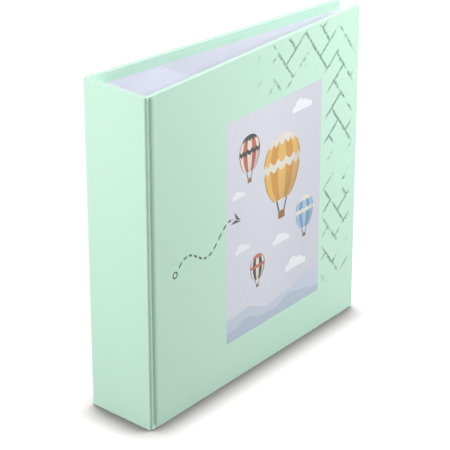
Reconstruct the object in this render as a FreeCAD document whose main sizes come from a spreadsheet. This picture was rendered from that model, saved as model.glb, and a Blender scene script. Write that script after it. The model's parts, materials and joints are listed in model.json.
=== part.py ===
"""Slip-in album in a wrapped hard case, as a parametric document.

The album stands on its tail. X runs from the spine to the fore-edge, Y from the front cover to the
back cover and Z up. The origin is at the middle of the box that the closed album fills, on its
base. Lengths are in millimetres and angles in degrees.

The case is three boards in one sheet of printed wrap, which is creased into a groove at each side
of the spine board. The leaves are glued in by their stubs, with a guard strip between each two, so
that the album is thick at the spine and thin at the fore-edge, and its covers lean together.
"""
import FreeCAD, Part
import math
import os

SIZES = {
    # case
    "cover_height": 225,
    "cover_width": 214,
    "spine_width": 53,
    "board_thickness": 2.2,
    "wrap_thickness": 0.25,
    "turn_in_width": 15,
    "corner_radius": 2.0,
    "edge_radius": 0.6,
    "spine_edge_radius": 1.75,
    # cover hinges: axis from the spine's face, axis under the cover's face, axis to board
    "hinge_depth": 4.0,
    "hinge_inset": 1.0,
    "hinge_reach": 4.5,
    # groove pressed in the wrap over each hinge: steep beside the spine, gentle up to the cover
    "groove_depth": 1.4,
    "groove_wall_slope": 62,
    "groove_rise_slope": 26,
    "groove_radius": 0.7,
    # from a cover's inner face out to the wrap that is turned in over its hinge
    "joint_setback": 0.3,
    # endpapers
    "endpaper_thickness": 0.15,
    "pastedown_margin": 8,
    "endpaper_fold_back": 2.4,
    "endpaper_fold_radius": 0.25,
    # spine of the block
    "mull_thickness": 0.15,
    "mull_flap": 1.5,
    "stub_depth": 14,
    "guard_setback": 0.3,
    "crease_slit": 0.4,
    # leaves
    "leaf_count": 42,
    "card_thickness": 0.18,
    "film_thickness": 0.03,
    "head_square": 7,
    "fore_square": 4,
    "memo_width": 43,
    "weld_width": 1.0,
    # clearances: between leaves at the fore-edge, and from a cover to its flyleaf
    "leaf_gap": 0.08,
    "crease_clearance": 0.35,
    "fore_clearance": 0.25,
    # between the end of a strip that bends and the cover that it leads to
    "strip_gap": 0.05,
}

# A groove's end runs, as a share of what the arcs beside them take up
STRAIGHT_RUN = 1.1

Z_AXIS = FreeCAD.Vector(0, 0, 1)
HALF_TURN = FreeCAD.Rotation(FreeCAD.Vector(1, 0, 0), 180)

doc = FreeCAD.newDocument("slip_in_album")
sub_parts = []


def make_sheet():
    """Put the driving sizes in a spreadsheet, one alias to a cell."""
    sheet = doc.addObject("Spreadsheet::Sheet", "Sizes")
    for row, (alias, value) in enumerate(SIZES.items(), start=1):
        sheet.set(f"A{row}", alias)
        sheet.set(f"B{row}", str(value))
        sheet.setAlias(f"B{row}", alias)
    doc.recompute()
    return sheet


sheet = make_sheet()

# Sizes that follow from the sheet's, as expressions in its aliases
CASE_THICKNESS = "(Sizes.board_thickness + 2 * Sizes.wrap_thickness)"
BOARD_LEVEL = "(Sizes.board_thickness + Sizes.wrap_thickness)"
BOARD_HEIGHT = "(Sizes.cover_height - 2 * Sizes.wrap_thickness)"
INNER_SPINE = "(Sizes.spine_width - 2 * Sizes.wrap_thickness)"
LINER_WIDTH = "(Sizes.spine_width - 4 * Sizes.wrap_thickness)"
WINDOW_HEIGHT = "(Sizes.cover_height - 2 * Sizes.turn_in_width)"
LEAF_HEIGHT = "(Sizes.cover_height - 2 * Sizes.head_square)"
BLOCK_BACK = f"({CASE_THICKNESS} + Sizes.mull_thickness)"
CREASE = f"({BLOCK_BACK} + Sizes.stub_depth)"
LEAF_REACH = (
    f"(Sizes.hinge_depth + Sizes.hinge_reach + Sizes.cover_width - Sizes.fore_square - {CREASE})"
)


class Layout:
    """Places worked out once from the sheet: where the hinges, creases and covers are at rest."""

    def __init__(self, s):
        case = s.board_thickness + 2 * s.wrap_thickness
        self.case_thickness = case
        self.crease_x = case + s.mull_thickness + s.stub_depth
        self.hinge_y = s.spine_width / 2 - s.hinge_inset
        self.cover_reach = s.hinge_reach + s.cover_width
        self.leaf_reach = s.hinge_depth + self.cover_reach - s.fore_square - self.crease_x
        # every sheet bound in the block, from the front flyleaf to the back one
        self.sheets = int(s.leaf_count) + 2
        self.last = (self.sheets - 1) / 2
        self.toe = self.toe_angle(s)
        self.crease_pitch = self.crease_half_width(s) / self.last
        self.fore_pitch = s.card_thickness + 2 * s.film_thickness + s.leaf_gap
        toe = math.radians(self.toe)
        rounding = s.edge_radius
        self.width = (
            s.hinge_depth
            + (self.cover_reach - rounding) * math.cos(toe)
            + (s.hinge_inset - rounding) * math.sin(toe)
            + rounding
        )
        self.centre = FreeCAD.Vector(-self.width / 2, 0, 0)

    def toe_angle(self, s):
        """How far each cover leans in, from its inner face lying on the leaves' fore-edge."""
        pitch = s.card_thickness + 2 * s.film_thickness + s.leaf_gap
        stack = self.last * pitch + s.endpaper_thickness / 2 + s.fore_clearance
        along = self.cover_reach - s.fore_square
        inside = self.case_thickness + s.endpaper_thickness - s.hinge_inset
        drop = (self.hinge_y - stack) / math.hypot(along, inside)
        return math.degrees(math.asin(drop) - math.atan(inside / along))

    def crease_half_width(self, s):
        """From the mid-plane to the flyleaf's crease, which clears the cover's inner face."""
        toe = math.radians(self.toe)
        inside = self.case_thickness + s.endpaper_thickness - s.hinge_inset
        face = self.hinge_y - (self.crease_x - s.hinge_depth) * math.sin(toe) - inside * math.cos(toe)
        return face - s.crease_clearance - s.endpaper_thickness / 2

    def on_side(self, side):
        """Placement of what is drawn for the front side (-1), turned over for the back side (1)."""
        if side < 0:
            return FreeCAD.Placement(self.centre, FreeCAD.Rotation())
        return FreeCAD.Placement(self.centre + Z_AXIS * sheet.cover_height, HALF_TURN)

    def cover(self, side):
        """Placement of a cover drawn from its joint edge, with its outer face on y = 0."""
        lean = FreeCAD.Rotation(Z_AXIS, self.toe)
        corner = FreeCAD.Vector(sheet.hinge_reach, -sheet.hinge_inset, 0)
        hinge = FreeCAD.Vector(sheet.hinge_depth, -self.hinge_y, 0)
        return self.on_side(side).multiply(FreeCAD.Placement(hinge + lean.multVec(corner), lean))

    def leaf(self, index):
        """Placement of a sheet drawn along +X from its crease, counted from the mid-plane."""
        crease_y = index * self.crease_pitch
        lean = math.degrees(math.atan2(index * self.fore_pitch - crease_y, self.leaf_reach))
        crease = FreeCAD.Vector(self.crease_x, crease_y, 0)
        return FreeCAD.Placement(self.centre + crease, FreeCAD.Rotation(Z_AXIS, lean))


layout = Layout(sheet)


def bind(thing, **expressions):
    """Bind properties to expressions; x, y and z stand for the place of the thing's corner."""
    for name, expression in expressions.items():
        path = f"Placement.Base.{name}" if name in ("x", "y", "z") else name
        thing.setExpression(path, expression)
    return thing


def new_body(label):
    """An empty body that is one sub-part of the album."""
    body = doc.addObject("PartDesign::Body", label)
    body.Label = label
    return body


def box_feature(body, name, kind="Additive", **expressions):
    """Add a box to a body, or take one from it."""
    box = body.newObject(f"PartDesign::{kind}Box", name)
    bind(box, **expressions)
    doc.recompute()
    return box


def round_edges(body, name, radius, wanted):
    """Round the edges of a body's shape for which wanted(edge) holds."""
    base = body.Tip
    edges = [f"Edge{i}" for i, edge in enumerate(base.Shape.Edges, 1) if wanted(edge)]
    fillet = body.newObject("PartDesign::Fillet", name)
    fillet.Base = (base, edges)
    bind(fillet, Radius=radius)
    doc.recompute()
    return fillet


def finish(thing, label, placement):
    """Name a sub-part, put it in its place and list it for writing."""
    thing.Label = label
    thing.Placement = placement
    sub_parts.append(thing)


def lies_at(edge, **planes):
    """Whether a whole edge lies at the given coordinates, such as x=0."""
    box = edge.BoundBox
    spans = {"x": (box.XMin, box.XMax), "y": (box.YMin, box.YMax), "z": (box.ZMin, box.ZMax)}
    return all(max(abs(end - at) for end in spans[axis]) < 1e-4 for axis, at in planes.items())


def is_outer_rim(edge):
    """Whether an edge bounds a cover's outer or inner face, and not the space for its board."""
    faces = (0, layout.case_thickness)
    return any(lies_at(edge, y=face) for face in faces)


def make_board(side, label):
    """A cover's greyboard, which the wrap covers on three edges."""
    width = sheet.cover_width - sheet.wrap_thickness
    body = new_body(label)
    box_feature(
        body, f"{label}_blank",
        Length="Sizes.cover_width - Sizes.wrap_thickness",
        Width="Sizes.board_thickness",
        Height=BOARD_HEIGHT,
        y="Sizes.wrap_thickness",
        z="Sizes.wrap_thickness",
    )
    round_edges(
        body, f"{label}_corners", "Sizes.corner_radius - Sizes.wrap_thickness",
        lambda edge: lies_at(edge, x=width) and edge.BoundBox.ZLength < 1e-4,
    )
    finish(body, label, layout.cover(side))


def make_cover_wrap(side, label):
    """The printed wrap of a cover: outer skin, three wrapped edges and their turn-ins."""
    width = sheet.cover_width
    inside = width - sheet.wrap_thickness
    body = new_body(label)
    box_feature(
        body, f"{label}_blank",
        Length="Sizes.cover_width", Width=CASE_THICKNESS, Height="Sizes.cover_height",
    )
    box_feature(
        body, f"{label}_board_space", "Subtractive",
        Length="Sizes.cover_width - Sizes.wrap_thickness",
        Width="Sizes.board_thickness",
        Height=BOARD_HEIGHT,
        y="Sizes.wrap_thickness",
        z="Sizes.wrap_thickness",
    )
    round_edges(
        body, f"{label}_folds", "Sizes.corner_radius - Sizes.wrap_thickness",
        lambda edge: lies_at(edge, x=inside) and edge.BoundBox.ZLength < 1e-4,
    )
    round_edges(
        body, f"{label}_corners", "Sizes.corner_radius",
        lambda edge: lies_at(edge, x=width) and edge.BoundBox.ZLength < 1e-4,
    )
    round_edges(
        body, f"{label}_edges", "Sizes.edge_radius",
        lambda edge: is_outer_rim(edge) and not lies_at(edge, x=0),
    )
    box_feature(
        body, f"{label}_window", "Subtractive",
        Length="Sizes.cover_width - Sizes.turn_in_width",
        Width="Sizes.wrap_thickness",
        Height=WINDOW_HEIGHT,
        y=BOARD_LEVEL,
        z="Sizes.turn_in_width",
    )
    finish(body, label, layout.cover(side))


def make_pastedown(side, label):
    """The endpaper half pasted to a board: it fills the turn-ins' window and laps over them."""
    body = new_body(label)
    box_feature(
        body, f"{label}_infill",
        Length="Sizes.cover_width - Sizes.turn_in_width",
        Width="Sizes.wrap_thickness",
        Height=WINDOW_HEIGHT,
        y=BOARD_LEVEL,
        z="Sizes.turn_in_width",
    )
    box_feature(
        body, f"{label}_sheet",
        Length="Sizes.cover_width - Sizes.pastedown_margin",
        Width="Sizes.endpaper_thickness",
        Height="Sizes.cover_height - 2 * Sizes.pastedown_margin",
        y=CASE_THICKNESS,
        z="Sizes.pastedown_margin",
    )
    finish(body, label, layout.cover(side))


def make_spine_board():
    """The spine's greyboard, with its two long outer edges rounded."""
    body = new_body("spine_board")
    box_feature(
        body, "spine_board_blank",
        Length="Sizes.board_thickness", Width=INNER_SPINE, Height=BOARD_HEIGHT,
        x="Sizes.wrap_thickness", y=f"-{INNER_SPINE} / 2", z="Sizes.wrap_thickness",
    )
    round_edges(
        body, "spine_board_rounding", "Sizes.spine_edge_radius - Sizes.wrap_thickness",
        lambda edge: lies_at(edge, x=sheet.wrap_thickness) and edge.BoundBox.YLength < 1e-4,
    )
    finish(body, "spine_board", layout.on_side(-1))


def make_spine_wrap():
    """The wrap over the spine board, turned in at head and tail; its sides run into the grooves."""
    inner_side = sheet.spine_width / 2 - sheet.wrap_thickness
    body = new_body("spine_wrap")
    box_feature(
        body, "spine_wrap_blank",
        Length=BOARD_LEVEL, Width="Sizes.spine_width", Height="Sizes.cover_height",
        y="-Sizes.spine_width / 2",
    )
    box_feature(
        body, "spine_wrap_board_space", "Subtractive",
        Length="Sizes.board_thickness", Width=INNER_SPINE, Height=BOARD_HEIGHT,
        x="Sizes.wrap_thickness", y=f"-{INNER_SPINE} / 2", z="Sizes.wrap_thickness",
    )
    round_edges(
        body, "spine_wrap_folds", "Sizes.spine_edge_radius - Sizes.wrap_thickness",
        lambda edge: lies_at(edge, x=sheet.wrap_thickness)
        and edge.BoundBox.YLength < 1e-4
        and abs(abs(edge.BoundBox.YMin) - inner_side) < 1e-4,
    )
    round_edges(
        body, "spine_wrap_rounding", "Sizes.spine_edge_radius",
        lambda edge: lies_at(edge, x=0) and edge.BoundBox.YLength < 1e-4,
    )
    round_edges(
        body, "spine_wrap_edges", "Sizes.edge_radius",
        lambda edge: (lies_at(edge, z=0) or lies_at(edge, z=sheet.cover_height))
        and edge.BoundBox.XMin < sheet.spine_edge_radius / 2,
    )
    box_feature(
        body, "spine_wrap_turn_ins",
        Length="Sizes.wrap_thickness", Width=LINER_WIDTH, Height="Sizes.cover_height",
        x=BOARD_LEVEL, y=f"-{LINER_WIDTH} / 2",
    )
    box_feature(
        body, "spine_wrap_window", "Subtractive",
        Length="Sizes.wrap_thickness", Width=LINER_WIDTH, Height=WINDOW_HEIGHT,
        x=BOARD_LEVEL, y=f"-{LINER_WIDTH} / 2", z="Sizes.turn_in_width",
    )
    finish(body, "spine_wrap", layout.on_side(-1))


def make_spine_liner():
    """The paper strip that fills the spine board's inner face between the turn-ins."""
    body = new_body("spine_liner")
    box_feature(
        body, "spine_liner_strip",
        Length="Sizes.wrap_thickness", Width=LINER_WIDTH, Height=WINDOW_HEIGHT,
        x=BOARD_LEVEL, y=f"-{LINER_WIDTH} / 2", z="Sizes.turn_in_width",
    )
    finish(body, "spine_liner", layout.on_side(-1))


def make_mull():
    """The gauze glued round the back of the block, with a short flap up each side."""
    half = layout.last * layout.crease_pitch - sheet.endpaper_thickness / 2
    body = new_body("block_mull")
    box_feature(
        body, "block_mull_outside",
        Length="Sizes.mull_thickness + Sizes.mull_flap",
        Width=f"{2 * half} + 2 * Sizes.mull_thickness",
        Height=LEAF_HEIGHT,
        x=CASE_THICKNESS, y=f"-{half} - Sizes.mull_thickness", z="Sizes.head_square",
    )
    box_feature(
        body, "block_mull_inside", "Subtractive",
        Length="Sizes.mull_flap", Width=f"{2 * half}", Height=LEAF_HEIGHT,
        x=BLOCK_BACK, y=f"-{half}", z="Sizes.head_square",
    )
    finish(body, "block_mull", layout.on_side(-1))


def rounded_path(corners, radius):
    """A flat wire of straight runs, with a tangent arc at each corner between its ends."""
    edges, start = [], corners[0]
    for before, corner, after in zip(corners, corners[1:], corners[2:]):
        back = (before - corner).normalize()
        ahead = (after - corner).normalize()
        half_angle = back.getAngle(ahead) / 2
        bisector = (back + ahead).normalize()
        cut = radius / math.tan(half_angle)
        middle = corner + bisector * (radius / math.sin(half_angle) - radius)
        edges.append(Part.makeLine(start, corner + back * cut))
        arc = Part.Arc(corner + back * cut, middle, corner + ahead * cut)
        edges.append(arc.toShape())
        start = corner + ahead * cut
    edges.append(Part.makeLine(start, corners[-1]))
    return Part.Wire(edges)


def raise_shape(name, base, height, foot=None):
    """A flat shape seen from above, raised to a height from the tail, or from a foot over it."""
    prism = doc.addObject("Part::Extrusion", name)
    prism.Base = base
    prism.Dir = Z_AXIS
    prism.Solid = True
    bind(prism, LengthFwd=height)
    if foot:
        bind(prism, z=foot)
    doc.recompute()
    return prism


def band_along(name, path, thickness):
    """A flat band: a path seen from above, given a thickness on its left."""
    line = doc.addObject("Part::Feature", f"{name}_path")
    line.Shape = path
    band = doc.addObject("Part::Offset2D", f"{name}_band")
    band.Source = line
    band.Mode = "Skin"
    band.Fill = True
    bind(band, Value=f"-{thickness}")
    doc.recompute()
    return band


def flat_shape(name, wire):
    """A flat face inside a closed wire."""
    face = doc.addObject("Part::Feature", name)
    face.Shape = Part.Face(wire)
    return face


def hinge_point(reach, level):
    """A point of the front cover, from its hinge's axis along the cover and in from its face."""
    hinge = FreeCAD.Vector(sheet.hinge_depth, -layout.hinge_y, 0)
    lean = FreeCAD.Rotation(Z_AXIS, layout.toe)
    return hinge + lean.multVec(FreeCAD.Vector(reach, level - sheet.hinge_inset, 0))


def groove_path():
    """The wrap's outer line across the joint, from the spine's edge down and up to the cover."""
    wall = math.radians(sheet.groove_wall_slope)
    rise = math.radians(sheet.groove_rise_slope)
    brow_turn = rise + math.radians(layout.toe)
    # each end keeps a straight run a little longer than half the arc beside it needs
    run = sheet.groove_radius * STRAIGHT_RUN
    reach = sheet.hinge_reach - sheet.strip_gap
    start = FreeCAD.Vector(
        sheet.board_thickness + sheet.wrap_thickness, -sheet.spine_width / 2, 0
    )
    end = hinge_point(reach, 0)
    floor = start.y + sheet.groove_depth
    top = start + FreeCAD.Vector(run * math.tan(wall / 2), 0, 0)
    brow = hinge_point(reach - run * math.tan(brow_turn / 2), 0)
    foot = FreeCAD.Vector(top.x + sheet.groove_depth / math.tan(wall), floor, 0)
    heel = FreeCAD.Vector(brow.x - (floor - brow.y) / math.tan(rise), floor, 0)
    return rounded_path([start, top, foot, heel, brow, end], sheet.groove_radius)


def make_groove(side, label):
    """The wrap over a hinge: pressed into a groove, and turned in over its head and tail."""
    outer = groove_path()
    start, end = outer.Vertexes[0].Point, outer.Vertexes[-1].Point
    depth = layout.case_thickness - sheet.joint_setback
    skin_depth = FreeCAD.Vector(0, sheet.wrap_thickness, 0)
    # the turn-in starts beside the spine's own, which lies one thickness further from its face
    under_start = start + skin_depth
    beside_spine = under_start + FreeCAD.Vector(sheet.wrap_thickness, 0, 0)
    inner_start = FreeCAD.Vector(beside_spine.x, start.y + depth, 0)
    inner_end = hinge_point(sheet.hinge_reach - sheet.strip_gap, depth)
    back = Part.makePolygon([end, inner_end, inner_start, beside_spine, under_start, start])
    end_shape = flat_shape(f"{label}_end", Part.Wire([*outer.Edges, *back.Edges]))
    flap_corners = [inner_start, inner_end, inner_end - skin_depth, inner_start - skin_depth]
    flap = flat_shape(f"{label}_flap", Part.makePolygon([*flap_corners, inner_start]))
    skin = band_along(f"{label}_skin", outer, "Sizes.wrap_thickness")
    head = "Sizes.cover_height"
    pieces = [
        raise_shape(f"{label}_strip", skin, head),
        raise_shape(f"{label}_tail", end_shape, "Sizes.wrap_thickness"),
        raise_shape(f"{label}_head", end_shape, "Sizes.wrap_thickness", f"{head} - Sizes.wrap_thickness"),
        raise_shape(f"{label}_tail_flap", flap, "Sizes.turn_in_width"),
        raise_shape(f"{label}_head_flap", flap, "Sizes.turn_in_width", f"{head} - Sizes.turn_in_width"),
    ]
    wrap = doc.addObject("Part::MultiFuse", label)
    wrap.Shapes = pieces
    wrap.Refine = True
    doc.recompute()
    finish(wrap, label, layout.on_side(side))


def endpaper_path():
    """The endpaper's fold: along the block's side to the spine, then back out to the pastedown."""
    half = sheet.endpaper_thickness / 2
    side_y = -layout.last * layout.crease_pitch
    end = hinge_point(sheet.hinge_reach - sheet.strip_gap - half, layout.case_thickness)
    fold_x = layout.case_thickness + sheet.mull_thickness + sheet.endpaper_fold_back
    start_x = layout.crease_x - sheet.crease_slit / 2
    corners = [
        FreeCAD.Vector(start_x, side_y + half, 0),
        FreeCAD.Vector(fold_x, side_y + half, 0),
        end,
    ]
    return rounded_path(corners, sheet.endpaper_fold_radius)


def make_endpaper_fold(side, label):
    """The endpaper's strip between the block and a cover."""
    band = band_along(label, endpaper_path(), "Sizes.endpaper_thickness")
    fold = raise_shape(label, band, LEAF_HEIGHT)
    lift = FreeCAD.Placement(Z_AXIS * sheet.head_square, FreeCAD.Rotation())
    finish(fold, label, layout.on_side(side).multiply(lift))


def plain_box(name, **expressions):
    """A box whose sizes and corner are bound to the sheet."""
    return bind(doc.addObject("Part::Box", name), **expressions)


def make_group(label, boxes, placement):
    """Several equal pieces that are one sub-part."""
    group = doc.addObject("Part::Compound", label)
    group.Links = boxes
    finish(group, label, placement)


def sheet_indices():
    """Every bound sheet's number from the mid-plane, from the front flyleaf to the back one."""
    return [number - layout.last for number in range(layout.sheets)]


def make_stubs():
    """The bound inner edge of each leaf's card, up to its crease."""
    stubs = [
        plain_box(
            f"stub_{number:02d}",
            Length="Sizes.stub_depth - Sizes.crease_slit / 2",
            Width="Sizes.card_thickness",
            Height=LEAF_HEIGHT,
            x=BLOCK_BACK,
            y=f"{index * layout.crease_pitch} - Sizes.card_thickness / 2",
            z="Sizes.head_square",
        )
        for number, index in enumerate(sheet_indices()[1:-1], start=1)
    ]
    make_group("leaf_stubs", stubs, layout.on_side(-1))


def make_guards():
    """The card strip that fills the space between each two bound sheets."""
    indices = sheet_indices()
    guards = []
    for number, (low, high) in enumerate(zip(indices, indices[1:]), start=1):
        below = "endpaper" if number == 1 else "card"
        above = "endpaper" if number == layout.sheets - 1 else "card"
        space = f"(Sizes.{below}_thickness + Sizes.{above}_thickness) / 2"
        guards.append(
            plain_box(
                f"guard_{number:02d}",
                Length="Sizes.stub_depth - Sizes.guard_setback",
                Width=f"{(high - low) * layout.crease_pitch} - {space}",
                Height=LEAF_HEIGHT,
                x=BLOCK_BACK,
                y=f"{low * layout.crease_pitch} + Sizes.{below}_thickness / 2",
                z="Sizes.head_square",
            )
        )
    make_group("guard_strips", guards, layout.on_side(-1))


def pocket_films(label):
    """A leaf's four clear films: an upper and a lower pocket on each face of the card."""
    height = f"({LEAF_HEIGHT} - 3 * Sizes.weld_width) / 2"
    faces = {"front": "-Sizes.card_thickness / 2 - Sizes.film_thickness",
             "back": "Sizes.card_thickness / 2"}
    feet = {"lower": "Sizes.head_square + Sizes.weld_width",
            "upper": f"Sizes.head_square + 2 * Sizes.weld_width + {height}"}
    return [
        plain_box(
            f"{label}_{level}_{face}_film",
            Length=f"{LEAF_REACH} - Sizes.memo_width - Sizes.weld_width",
            Width="Sizes.film_thickness",
            Height=height,
            x="Sizes.memo_width",
            y=face_y,
            z=foot_z,
        )
        for face, face_y in faces.items()
        for level, foot_z in feet.items()
    ]


def make_leaf(number, index):
    """One turning leaf: its card from the crease to the fore-edge, and its four pockets."""
    label = f"leaf_{number:02d}"
    card = plain_box(
        f"{label}_card",
        Length=f"{LEAF_REACH} - Sizes.crease_slit / 2",
        Width="Sizes.card_thickness",
        Height=LEAF_HEIGHT,
        x="Sizes.crease_slit / 2",
        y="-Sizes.card_thickness / 2",
        z="Sizes.head_square",
    )
    make_group(label, [card, *pocket_films(label)], layout.leaf(index))


def make_flyleaf(label, index):
    """The free half of an endpaper, which turns on its own crease."""
    flyleaf = doc.addObject("PartDesign::Body", label)
    box_feature(
        flyleaf, f"{label}_sheet",
        Length=f"{LEAF_REACH} - Sizes.crease_slit / 2",
        Width="Sizes.endpaper_thickness",
        Height=LEAF_HEIGHT,
        x="Sizes.crease_slit / 2",
        y="-Sizes.endpaper_thickness / 2",
        z="Sizes.head_square",
    )
    finish(flyleaf, label, layout.leaf(index))


def make_case():
    """The spine, both covers and the strips that join them."""
    make_spine_board()
    make_spine_wrap()
    make_spine_liner()
    for side, name in ((-1, "front"), (1, "back")):
        make_board(side, f"{name}_board")
        make_cover_wrap(side, f"{name}_wrap")
        make_pastedown(side, f"{name}_pastedown")
        make_groove(side, f"{name}_groove")
        make_endpaper_fold(side, f"{name}_endpaper_fold")


def make_block():
    """The bound block: mull, stubs, guards, flyleaves and leaves."""
    make_mull()
    make_stubs()
    make_guards()
    indices = sheet_indices()
    make_flyleaf("front_flyleaf", indices[0])
    for number, index in enumerate(indices[1:-1], start=1):
        make_leaf(number, index)
    make_flyleaf("back_flyleaf", indices[-1])


def check_document():
    """Stop if any object failed or any sub-part has no valid shape."""
    for thing in doc.Objects:
        if {"Invalid", "Error"} & set(thing.State):
            raise RuntimeError(f"{thing.Label} failed: {thing.State}")
    for part in sub_parts:
        if part.Shape.isNull() or not part.Shape.isValid() or not part.Shape.Solids:
            raise RuntimeError(f"{part.Label} has no valid solid")


def write_parts():
    """Write each sub-part's shape to a file of its own."""
    os.makedirs("parts", exist_ok=True)
    for part in sub_parts:
        part.Shape.exportStep(f"parts/{part.Label}.step")


make_case()
make_block()
doc.recompute()
check_document()
write_parts()
print(f"{len(sub_parts)} sub-parts, width {layout.width:.2f}, toe {layout.toe:.3f}")
print(f"crease pitch {layout.crease_pitch:.4f}, fore-edge pitch {layout.fore_pitch:.4f}")
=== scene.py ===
"""Dresses the slip-in album: its printed case, its endpapers and its block of pocket leaves.

Lengths are in millimetres until a mesh is finished, which puts it in metres in the frame.
"""

import json
import logging
import math
from abc import ABC, abstractmethod
from dataclasses import dataclass, field
from enum import Enum, IntEnum
from functools import reduce
from typing import Callable, Iterable, Sequence

import bmesh
import bpy
from bmesh.types import BMEdge, BMFace
from bpy.types import Material, Node, NodeSocket, NodeTree, Object
from mathutils import Matrix, Vector

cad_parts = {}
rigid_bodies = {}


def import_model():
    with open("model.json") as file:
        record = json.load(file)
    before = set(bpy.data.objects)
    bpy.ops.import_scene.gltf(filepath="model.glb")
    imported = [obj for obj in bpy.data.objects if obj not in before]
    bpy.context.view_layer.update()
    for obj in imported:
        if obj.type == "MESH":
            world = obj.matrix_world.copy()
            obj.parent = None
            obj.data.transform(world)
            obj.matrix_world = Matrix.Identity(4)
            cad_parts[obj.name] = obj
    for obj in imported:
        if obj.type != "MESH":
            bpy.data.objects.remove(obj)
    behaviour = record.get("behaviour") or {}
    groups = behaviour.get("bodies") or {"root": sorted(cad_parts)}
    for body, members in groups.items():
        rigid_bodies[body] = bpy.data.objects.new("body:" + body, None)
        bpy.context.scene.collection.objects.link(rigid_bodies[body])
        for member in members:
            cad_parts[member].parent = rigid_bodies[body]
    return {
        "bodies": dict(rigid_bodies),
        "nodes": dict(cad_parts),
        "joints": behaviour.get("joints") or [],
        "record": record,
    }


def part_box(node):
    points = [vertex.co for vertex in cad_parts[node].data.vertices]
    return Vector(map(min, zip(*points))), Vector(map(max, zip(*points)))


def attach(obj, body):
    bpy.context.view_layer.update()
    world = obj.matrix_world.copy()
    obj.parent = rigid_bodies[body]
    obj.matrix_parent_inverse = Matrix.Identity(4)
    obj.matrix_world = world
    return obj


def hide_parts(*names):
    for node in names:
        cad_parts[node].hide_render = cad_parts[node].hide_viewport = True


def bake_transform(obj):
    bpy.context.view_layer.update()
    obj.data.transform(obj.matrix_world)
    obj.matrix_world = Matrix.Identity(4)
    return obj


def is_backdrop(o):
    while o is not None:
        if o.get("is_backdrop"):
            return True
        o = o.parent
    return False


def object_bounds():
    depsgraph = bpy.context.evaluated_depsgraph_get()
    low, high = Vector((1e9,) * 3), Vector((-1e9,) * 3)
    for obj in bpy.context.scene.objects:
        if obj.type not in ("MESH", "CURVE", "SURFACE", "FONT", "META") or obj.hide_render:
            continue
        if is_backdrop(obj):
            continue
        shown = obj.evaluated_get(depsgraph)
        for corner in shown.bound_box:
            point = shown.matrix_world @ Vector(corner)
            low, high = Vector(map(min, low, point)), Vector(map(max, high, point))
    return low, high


MM = 0.001
# the attribute of a mesh that says how worn, dark or welded it is at each point
WEAR = "wear"
# how softly a printed edge ends
PRINT_EDGE = 0.3
# faces that meet at a sharper angle than this keep a hard edge
SHARP_ANGLE = math.radians(40)
# places nearer than this count as one, and a direction this much along an axis follows it
CLOSE = 0.01
ALONG = 0.99

Colour = tuple[float, float, float, float]
Value = float | NodeSocket
Test = Callable[[Vector], bool]
Wear = Callable[[Vector], float]

log = logging.getLogger("album")


def paint(red: int, green: int, blue: int) -> Colour:
    """The linear colour that shaders take, for one that a screen shows, each part from 0 to 255."""
    # the curve of sRGB; its straight foot is darker than any colour here
    linear = [((v / 255 + 0.055) / 1.055) ** 2.4 for v in (red, green, blue)]
    return (*linear, 1.0)


class Side(Enum):
    """The two halves of the album, which mirror each other in the plane of the spine."""

    FRONT = -1
    BACK = 1

    @property
    def word(self) -> str:
        """The side's name, as it stands in the names of nodes and bodies."""
        return self.name.lower()

    @property
    def turn(self) -> Matrix:
        """Takes what is drawn for the front half over to this half."""
        return Matrix.Diagonal((1, -self.value, 1, 1))


class Axis(IntEnum):
    """The axes, as indices of a vector."""

    X = 0
    Y = 1
    Z = 2


class Lay(Enum):
    """Where a finish takes its coordinates from."""

    LAID = "laid"
    FLAT = "flat"
    NODE = "node"


class Change(Enum):
    """How a value goes from one number to another."""

    SMOOTH = "SMOOTHSTEP"
    EVEN = "LINEAR"


# ---------------------------------------------------------------------------
# shaders
# ---------------------------------------------------------------------------


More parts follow.
